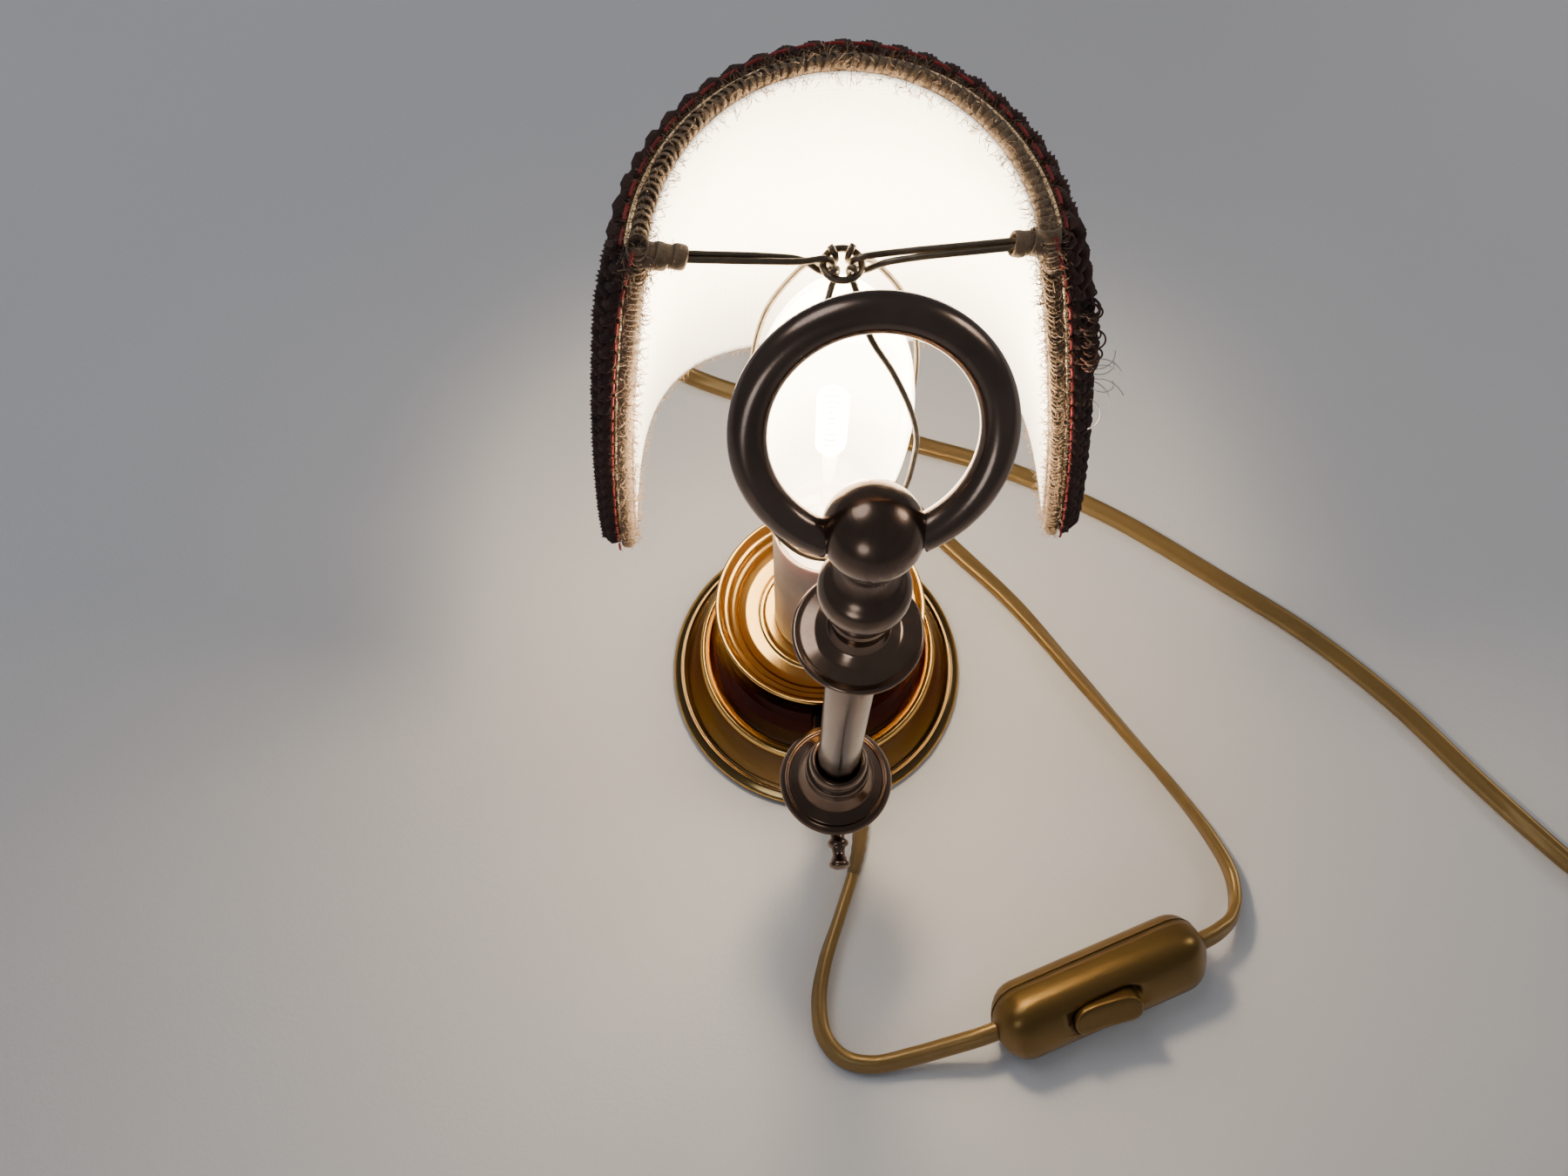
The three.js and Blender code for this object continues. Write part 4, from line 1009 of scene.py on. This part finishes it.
def circle(tree, sides, radius):
    return add_node(tree, "GeometryNodeCurvePrimitiveCircle",
                    {"Resolution": sides, "Radius": radius}).outputs["Curve"]


def solid_line(tree, line, section, caps=True):
    return add_node(tree, "GeometryNodeCurveToMesh",
                    {"Curve": line, "Profile Curve": section, "Fill Caps": caps}).outputs["Mesh"]


def any_value(tree, low, high, seed):
    return add_node(tree, "FunctionNodeRandomValue", {2: low, 3: high, "Seed": seed},
                    data_type="FLOAT").outputs[1]


def xyz(tree, **parts):
    return add_node(tree, "ShaderNodeCombineXYZ", parts).outputs["Vector"]


def hand_back(tree, geometry, finish, put):
    """Realizes the instances, smooths them and gives them their material."""
    real = add_node(tree, "GeometryNodeRealizeInstances", {"Geometry": geometry}).outputs[0]
    soft = add_node(tree, "GeometryNodeSetShadeSmooth", {"Geometry": real}).outputs[0]
    done = add_node(tree, "GeometryNodeSetMaterial", {"Geometry": soft, "Material": finish})
    tree.links.new(done.outputs[0], put[0])


def grow(obj, group, **values):
    """Runs a geometry tree on an object and keeps the result as a plain mesh."""
    modifier = obj.modifiers.new("grow", "NODES")
    modifier.node_group = group
    for item in group.interface.items_tree:
        key = item.name.replace(" ", "_")
        if item.in_out == "INPUT" and key in values:
            modifier[item.identifier] = values[key]
    finish_modifiers(obj)
    obj.data.name = obj.name


MATERIAL = "NodeSocketMaterial"
winding, given, put = geometry_tree(
    "tape_winding",
    [("Core", FLOAT, 0.0013), ("Width", FLOAT, 0.0026), ("Pitch", FLOAT, 0.0022),
     ("Lean", FLOAT, 0.6), ("Fray", FLOAT, 0.0014), ("Fray count", FLOAT, 2.0e6),
     ("Seed", "NodeSocketInt", 3), ("Finish", MATERIAL, None)],
)
stations, tangent, outward = follow(winding, given["Geometry"], given["Pitch"])
longer = math_node(winding, "DIVIDE", 1.0, math_node(winding, "COSINE", given["Lean"]))
oval = add_node(winding, "GeometryNodeTransform",
                {"Geometry": circle(winding, 18, given["Core"]),
                 "Scale": xyz(winding, X=1.0, Y=longer, Z=1.0)}).outputs["Geometry"]
half_width = math_node(winding, "MULTIPLY", given["Width"], 0.5)
flat_edge = add_node(winding, "GeometryNodeTransform",
                     {"Geometry": circle(winding, 8, half_width),
                      "Scale": xyz(winding, X=0.2, Y=1.0, Z=1.0)}).outputs["Geometry"]
one_turn = solid_line(winding, oval, flat_edge, False)
uneven = math_node(winding, "ADD", given["Lean"], any_value(winding, -0.10, 0.10, given["Seed"]))
leaning = turned_by(winding, along_line(winding, tangent, outward), xyz(winding, X=uneven))
turns = add_node(winding, "GeometryNodeInstanceOnPoints",
                 {"Points": stations, "Instance": one_turn, "Rotation": leaning,
                  "Scale": any_value(winding, 0.95, 1.12, given["Seed"])}).outputs["Instances"]
core = solid_line(winding, stations, circle(winding, 12, given["Core"]))
roots = add_node(winding, "GeometryNodeDistributePointsOnFaces",
                 {"Mesh": core, "Density": given["Fray count"], "Seed": given["Seed"]})
fibre_line = add_node(winding, "GeometryNodeCurvePrimitiveBezierSegment",
                      {"Resolution": 4, "Start": (0, 0, 0), "Start Handle": (0, 0.3, 0.4),
                       "End Handle": (0.2, 0.2, 0.8), "End": (0.6, -0.1, 1.0)}).outputs["Curve"]
fibre = solid_line(winding, fibre_line, circle(winding, 3, 0.03))
spin = add_node(winding, "FunctionNodeRandomValue",
                {0: (-0.7, -0.7, -3.1), 1: (0.7, 0.7, 3.1), "Seed": given["Seed"]},
                data_type="FLOAT_VECTOR").outputs[0]
how_long = math_node(winding, "MULTIPLY", any_value(winding, 0.5, 1.3, given["Seed"]), given["Fray"])
fray = add_node(winding, "GeometryNodeInstanceOnPoints",
                {"Points": roots.outputs["Points"], "Instance": fibre,
                 "Rotation": turned_by(winding, roots.outputs["Rotation"], spin),
                 "Scale": how_long}).outputs["Instances"]
whole = add_node(winding, "GeometryNodeJoinGeometry")
for part in (turns, core, fray):
    winding.links.new(part, whole.inputs[0])
hand_back(winding, whole.outputs[0], given["Finish"], put)

# The tape is beige; its darker brown colour here is painted shade.
tape_cloth = fibrous("beige_binding_tape", (0.29, 0.19, 0.105), (0.13, 0.08, 0.045), 220.0, 0.7, 0.95,
                     0.25, smooth=0.85, dullness=0.9, grain=2600.0, depth=0.0003)


def shade_curve(kind, t_or_angle, start, end, count, offset=0.0):
    points = []
    for k in range(count + 1):
        part = start + (end - start) * k / count
        angle, t = (part, t_or_angle) if kind == "arc" else (t_or_angle, part)
        step = 0.01
        around = shade_point(angle + step, t, offset) - shade_point(angle - step, t, offset)
        upward = shade_point(angle, t + step, offset) - shade_point(angle, t - step, offset)
        points.append((shade_place(shade_point(angle, t, offset)),
                       (SHADE_TURN @ around.cross(upward)).normalized()))
    return points


frame_runs = (
    ("frame_top", shade_curve("arc", 1.0, math.radians(0.6), math.radians(179.4), 60)),
    ("frame_bottom", shade_curve("arc", 0.0, math.radians(0.4), math.radians(179.6), 70)),
    ("post_right", shade_curve("line", 0.0, -0.012, 1.006, 24)),
    ("post_left", shade_curve("line", math.pi, -0.012, 1.006, 24)),
)
for number, (node, points) in enumerate(frame_runs):
    wound = wire_path(node + "_wound", points)
    grow(wound, winding, Core=0.00135, Width=0.0024, Pitch=0.0016, Lean=0.62, Fray=0.0019,
         Fray_count=2.2e6, Seed=number, Finish=tape_cloth)
    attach(wound, "shade")
    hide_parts(node)

for node, angle in (("rib_right", 48), ("rib_middle", 90), ("rib_left", 132)):
    dress(node, steel)


def arm_route(facing):
    out_x = TOP_A - 1.6 + 0.6
    leg = [(out_x, 0.64, 4.2), (22, 0.64, 3.1), (12, 0.62, 2.2), (6.8, 0.5, 1.75), (4, 0.15, 1.75)]
    bend = [(3.3, 0, 1.72), (2.05, 0, 1.15), (1.6, 0, 0), (2.05, 0, -1.15), (3.3, 0, -1.72)]
    back = [(4, -0.15, -1.5), (6.8, -0.62, 0.7), (12, -0.64, 1.9), (22, -0.64, 3), (out_x, -0.64, 4.1)]
    return [(x * facing, y * facing, z) for x, y, z in leg + bend + back]


for node, facing in (("arm_right", 1), ("arm_left", -1)):
    path = [shade_place(p) for p in catmull(arm_route(facing), 0.6)]
    ups = steady_ups(path, Vector((0, 1, 0)))
    arm_wire = swept(node + "_wire", path, round_section(0.6 * MM, 10), ups)
    fit(arm_wire, wire_metal, "shade", "steel_wire", node)
for node, facing, reach in (("binding_right", 1, 28.9), ("binding_left", -1, 27.2)):
    points = [(shade_place((x * facing, 0, 4.1 - (33 - x) * 0.11)), SHADE_TURN @ Vector((0, 1, 0)))
              for x in (reach, reach + 1, reach + 2, 33.4)]
    knot = wire_path(node + "_thread", points)
    grow(knot, winding, Core=0.0019, Width=0.0022, Pitch=0.0013, Lean=0.3, Fray=0.0011,
         Fray_count=1.2e6, Seed=9, Finish=tape_cloth)
    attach(knot, "shade")
    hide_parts(node)
    angle = 0.0 if facing == 1 else math.pi
    crossing = wire_path(node + "_crossing", shade_curve("line", angle, 0.955, 1.02, 6))
    grow(crossing, winding, Core=0.00165, Width=0.0022, Pitch=0.0012, Lean=-0.55, Fray=0.0018,
         Fray_count=2.4e6, Seed=5, Finish=tape_cloth)
    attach(crossing, "shade")

# ------------------------------------------------------------------ shade cloth
# White cotton lining inside and a cream cover outside, both stretched over the frame. Lit from the
# bulb, the lining glows, and the cover glows faintly orange: both glows are painted light, set as
# emission.
weave, given, put = shader_group(
    "plain_weave", [("Place", VECTOR, None), ("Threads", FLOAT, 1400.0)],
    [("Height", FLOAT), ("Slub", FLOAT)],
)
warp = add_node(weave, "ShaderNodeTexWave",
                {"Vector": given["Place"], "Scale": given["Threads"], "Distortion": 0.6,
                 "Detail Scale": 2.0}, bands_direction="X").outputs["Fac"]
weft = add_node(weave, "ShaderNodeTexWave",
                {"Vector": given["Place"], "Scale": given["Threads"], "Distortion": 0.6,
                 "Detail Scale": 2.0}, bands_direction="Y").outputs["Fac"]
weave.links.new(math_node(weave, "MAXIMUM", warp, weft), put["Height"])
slub = add_node(weave, "ShaderNodeTexNoise", {"Vector": given["Place"], "Scale": 120.0, "Detail": 4.0})
weave.links.new(slub.outputs["Fac"], put["Slub"])


def cloth_finish(name, low, high, glow_colour, glow_strength, through):
    material, tree, shader = new_material(name)
    place = add_node(tree, "ShaderNodeUVMap", uv_map="cloth").outputs["UV"]
    out = use_group(tree, weave, Place=place, Threads=260.0)
    tint = two_tone(tree, out["Slub"], low, high)
    tint.color_ramp.elements[0].position = 0.3
    tint.color_ramp.elements[1].position = 0.7
    tree.links.new(tint.outputs["Color"], shader.inputs["Base Color"])
    raised(tree, shader, out["Height"], 0.35, 0.0003)
    # The emission colour and strength are painted light from the bulb.
    settings(shader, Roughness=0.9, Sheen_Weight=0.15, Transmission_Weight=through,
             Emission_Color=(*glow_colour, 1), Emission_Strength=glow_strength)
    return material


def shade_cloth(name, offset, thickness, from_angle, to_angle, low, high, waver):
    """A sheet stretched on the frame, with slight pulls between the wires."""
    columns, rows = 110, 48
    vertices, faces, uvs = [], [], []
    for row in range(rows + 1):
        t = low + (high - low) * row / rows
        for column in range(columns + 1):
            angle = from_angle + (to_angle - from_angle) * column / columns
            pull = waver * math.sin(angle * 23 + 3 * t) * math.sin(math.pi * row / rows) ** 2
            pull += waver * 0.6 * math.sin(angle * 41 - 5 * t) * math.sin(math.pi * row / rows)
            vertices.append(shade_place(shade_point(angle, t, offset + pull)))
            uvs.append((angle * 48 * MM, t * 110 * MM))
    for row in range(rows):
        for column in range(columns):
            a = row * (columns + 1) + column
            faces.append((a, a + 1, a + columns + 2, a + columns + 1))
    sheet = plain_mesh(name, vertices, faces)
    layer = sheet.data.uv_layers.new(name="cloth")
    for loop in sheet.data.loops:
        layer.data[loop.index].uv = uvs[loop.vertex_index]
    wall = sheet.modifiers.new("cloth", "SOLIDIFY")
    wall.thickness = thickness * MM
    wall.offset = 1
    finish_modifiers(sheet)
    return sheet


lining = shade_cloth("shade_lining_cloth", -2.0, 0.3, math.radians(3.4), math.radians(176.6), -0.004,
                     0.998, 0.12)
cover = shade_cloth("shade_cover_cloth", 2.0, 0.4, math.radians(1.4), math.radians(178.6), -0.004,
                    1.0, 0.1)
lining.data.materials.append(cloth_finish("lit_lining", (0.84, 0.80, 0.72), (0.90, 0.87, 0.80),
                                          (1.0, 0.93, 0.80), 1.4, 0.0))
cover.data.materials.append(cloth_finish("cream_cover", (0.66, 0.55, 0.38), (0.76, 0.66, 0.48),
                                         (1.0, 0.62, 0.28), 0.35, 0.0))
for piece, node, slot, width in ((lining, "shade_lining", "lining", 0.146),
                                 (cover, "shade_cover", "cover", 0.163)):
    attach(piece, "shade")
    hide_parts(node)

# ------------------------------------------------------------------ braid
# Dark brown and wine red gimp braid: three cords plaited over each other, sewn along every edge of
# the shade with red thread.
plait, given, put = geometry_tree(
    "gimp_plait",
    [("Width", FLOAT, 0.008), ("Depth", FLOAT, 0.003), ("Wave", FLOAT, 0.0075),
     ("Cord", FLOAT, 0.0012), ("Twist", FLOAT, 1600.0), ("Finish", MATERIAL, None)],
)
close_line, tangent, outward = follow(plait, given["Geometry"], 0.0006)
travel = add_node(plait, "GeometryNodeSplineParameter").outputs["Length"]
across = add_node(plait, "ShaderNodeVectorMath", {0: tangent, 1: outward},
                  operation="CROSS_PRODUCT").outputs["Vector"]
cords = add_node(plait, "GeometryNodeJoinGeometry")
for number in range(3):
    turn = math_node(plait, "MULTIPLY", math_node(plait, "DIVIDE", travel, given["Wave"]), math.tau)
    shifted = math_node(plait, "ADD", turn, number * math.tau / 3)
    sway = math_node(plait, "MULTIPLY", math_node(plait, "SINE", shifted),
                     math_node(plait, "MULTIPLY", given["Width"], 0.5))
    lift = math_node(plait, "MULTIPLY",
                     math_node(plait, "SINE", math_node(plait, "MULTIPLY", shifted, 2.0)),
                     math_node(plait, "MULTIPLY", given["Depth"], 0.5))
    sideways = add_node(plait, "ShaderNodeVectorMath", {0: across, "Scale": sway}, operation="SCALE")
    outwards = add_node(plait, "ShaderNodeVectorMath", {0: outward, "Scale": lift}, operation="SCALE")
    move = add_node(plait, "ShaderNodeVectorMath",
                    {0: sideways.outputs["Vector"], 1: outwards.outputs["Vector"]}, operation="ADD")
    moved = add_node(plait, "GeometryNodeSetPosition",
                     {"Geometry": close_line, "Offset": move.outputs["Vector"]}).outputs["Geometry"]
    twisted = add_node(plait, "GeometryNodeSetCurveTilt",
                       {"Curve": moved, "Tilt": math_node(plait, "MULTIPLY", travel, given["Twist"])})
    strands = add_node(plait, "GeometryNodeCurveStar",
                       {"Points": 5, "Inner Radius": math_node(plait, "MULTIPLY", given["Cord"], 0.68),
                        "Outer Radius": given["Cord"]}).outputs["Curve"]
    plait.links.new(solid_line(plait, twisted.outputs[0], strands), cords.inputs[0])
hand_back(plait, cords.outputs[0], given["Finish"], put)

sewing, given, put = geometry_tree(
    "running_stitch",
    [("Stitch", FLOAT, 0.003), ("Gap", FLOAT, 0.0045), ("Thread", FLOAT, 0.0003),
     ("Finish", MATERIAL, None)],
)
holes, tangent, outward = follow(sewing, given["Geometry"], given["Gap"])
half = math_node(sewing, "MULTIPLY", given["Stitch"], 0.5)
low_end = xyz(sewing, Z=math_node(sewing, "MULTIPLY", half, -1.0))
stitch_line = add_node(sewing, "GeometryNodeCurveQuadraticBezier",
                       {"Resolution": 5, "Start": low_end,
                        "Middle": xyz(sewing, X=given["Thread"], Y=0.0002),
                        "End": xyz(sewing, Z=half)}).outputs["Curve"]
stitch = solid_line(sewing, stitch_line, circle(sewing, 5, given["Thread"]))
sewn = add_node(sewing, "GeometryNodeInstanceOnPoints",
                {"Points": holes, "Instance": stitch, "Rotation": along_line(sewing, tangent, outward)})
hand_back(sewing, sewn.outputs[0], given["Finish"], put)

braid, red_thread, white_thread = (
    fibrous(name, bright, dull, clouds, 0.8, 0.85, 0.08, grain=3400.0)
    for name, bright, dull, clouds in (
        ("wine_brown_braid", (0.095, 0.038, 0.024), (0.034, 0.015, 0.011), 260.0),
        ("red_sewing_thread", (0.36, 0.035, 0.03), (0.16, 0.015, 0.015), 300.0),
        ("loose_white_thread", (0.75, 0.72, 0.68), (0.55, 0.52, 0.48), 300.0),
    )
)


def side_line(side, offset, y):
    """Points down a side of the shade, with the braid's face turned towards the open side."""
    low, high = -0.008, 1.016
    lean = math.radians(-50)
    out_dir = SHADE_TURN @ Vector((side * math.cos(lean), math.sin(lean), 0))
    angle = 0 if side > 0 else math.pi
    points = []
    for k in range(61):
        t = low + (high - low) * k / 60
        nearer = 1.5 * max(0.0, (t - 0.84) / 0.17) ** 1.5 + 0.5 * max(0.0, (0.14 - t) / 0.15) ** 1.5
        at = shade_point(angle, t, offset - nearer) + Vector((0, y, 0))
        points.append((shade_place(at), out_dir))
    return points


from_side, to_side = math.radians(2.5), math.radians(177.5)
braid_runs = (
    ("trim_top", shade_curve("arc", 0.982, from_side, to_side, 80, 4.0), 6.6, 0.0014),
    ("trim_bottom", shade_curve("arc", 0.02, from_side, to_side, 90, 4.0), 6.6, 0.0014),
    ("trim_right", side_line(1, 4.7, 0.6), 6.2, 0.0014),
    ("trim_left", side_line(-1, 4.7, 0.6), 6.2, 0.0014),
)
for node, points, width, cord in braid_runs:
    strip = wire_path(node + "_braid", points)
    grow(strip, plait, Width=width * MM - 2 * cord, Depth=0.0009, Wave=0.0155, Cord=cord, Twist=1500.0,
         Finish=braid)
    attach(strip, "shade")
    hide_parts(node)

stitch_runs = (
    ("stitches_top", shade_curve("arc", 1.022, math.radians(3), math.radians(177), 80, 2.7)),
    ("stitches_bottom", shade_curve("arc", -0.022, math.radians(3), math.radians(177), 90, 2.7)),
    ("stitches_right", side_line(1, 2.55, -2.0)),
    ("stitches_left", side_line(-1, 2.55, -2.0)),
)
for name, points in stitch_runs:
    seam = wire_path(name, points)
    grow(seam, sewing, Stitch=0.0034, Gap=0.0048, Thread=0.00032, Finish=red_thread)
    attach(seam, "shade")

# ------------------------------------------------------------------ loose ends
# Half way down the right side the braid has frayed into a tuft of dark curls, and a few white
# threads hang below it.
chance = random.Random(7)


def loose_threads(name, count, t_from, t_to, reach, curl, radius, finish):
    vertices, faces = [], []
    for _ in range(count):
        t = chance.uniform(t_from, t_to)
        at = shade_point(0, t, 6.4) + Vector((0, chance.uniform(-1.5, 2.5), 0))
        heading = chance.uniform(-0.9, 0.9)
        drop = chance.uniform(-1.0, 0.4)
        spin = chance.choice((-1, 1)) * chance.uniform(0.6, 1.0) * curl
        step = reach * chance.uniform(0.5, 1.0) / 14
        path = [at]
        for _ in range(14):
            heading += spin * 0.16
            forward = Vector((math.cos(heading), math.sin(heading), drop * 0.6))
            path.append(path[-1] + forward.normalized() * step)
        path = [shade_place(p) for p in path]
        ups = steady_ups(path, Vector((0.1, 0.2, 1)))
        base = len(vertices)
        for i, point in enumerate(path):
            tangent = (path[min(i + 1, 14)] - path[max(i - 1, 0)]).normalized()
            across = tangent.cross(ups[i])
            for k in range(5):
                a = math.tau * k / 5
                vertices.append(point + (across * math.cos(a) + ups[i] * math.sin(a)) * radius * MM)
        for i in range(14):
            for k in range(5):
                m, low = (k + 1) % 5, base + i * 5
                faces.append((low + k, low + m, low + 5 + m, low + 5 + k))
        faces.append(tuple(base + k for k in reversed(range(5))))
        faces.append(tuple(base + 70 + k for k in range(5)))
    threads = plain_mesh(name, vertices, faces)
    threads.data.materials.append(finish)
    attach(threads, "shade")


loose_threads("frayed_tuft", 80, 0.67, 0.86, 6.8, 2.6, 0.2, braid)
loose_threads("white_threads", 9, 0.54, 0.68, 12.0, 1.2, 0.1, white_thread)
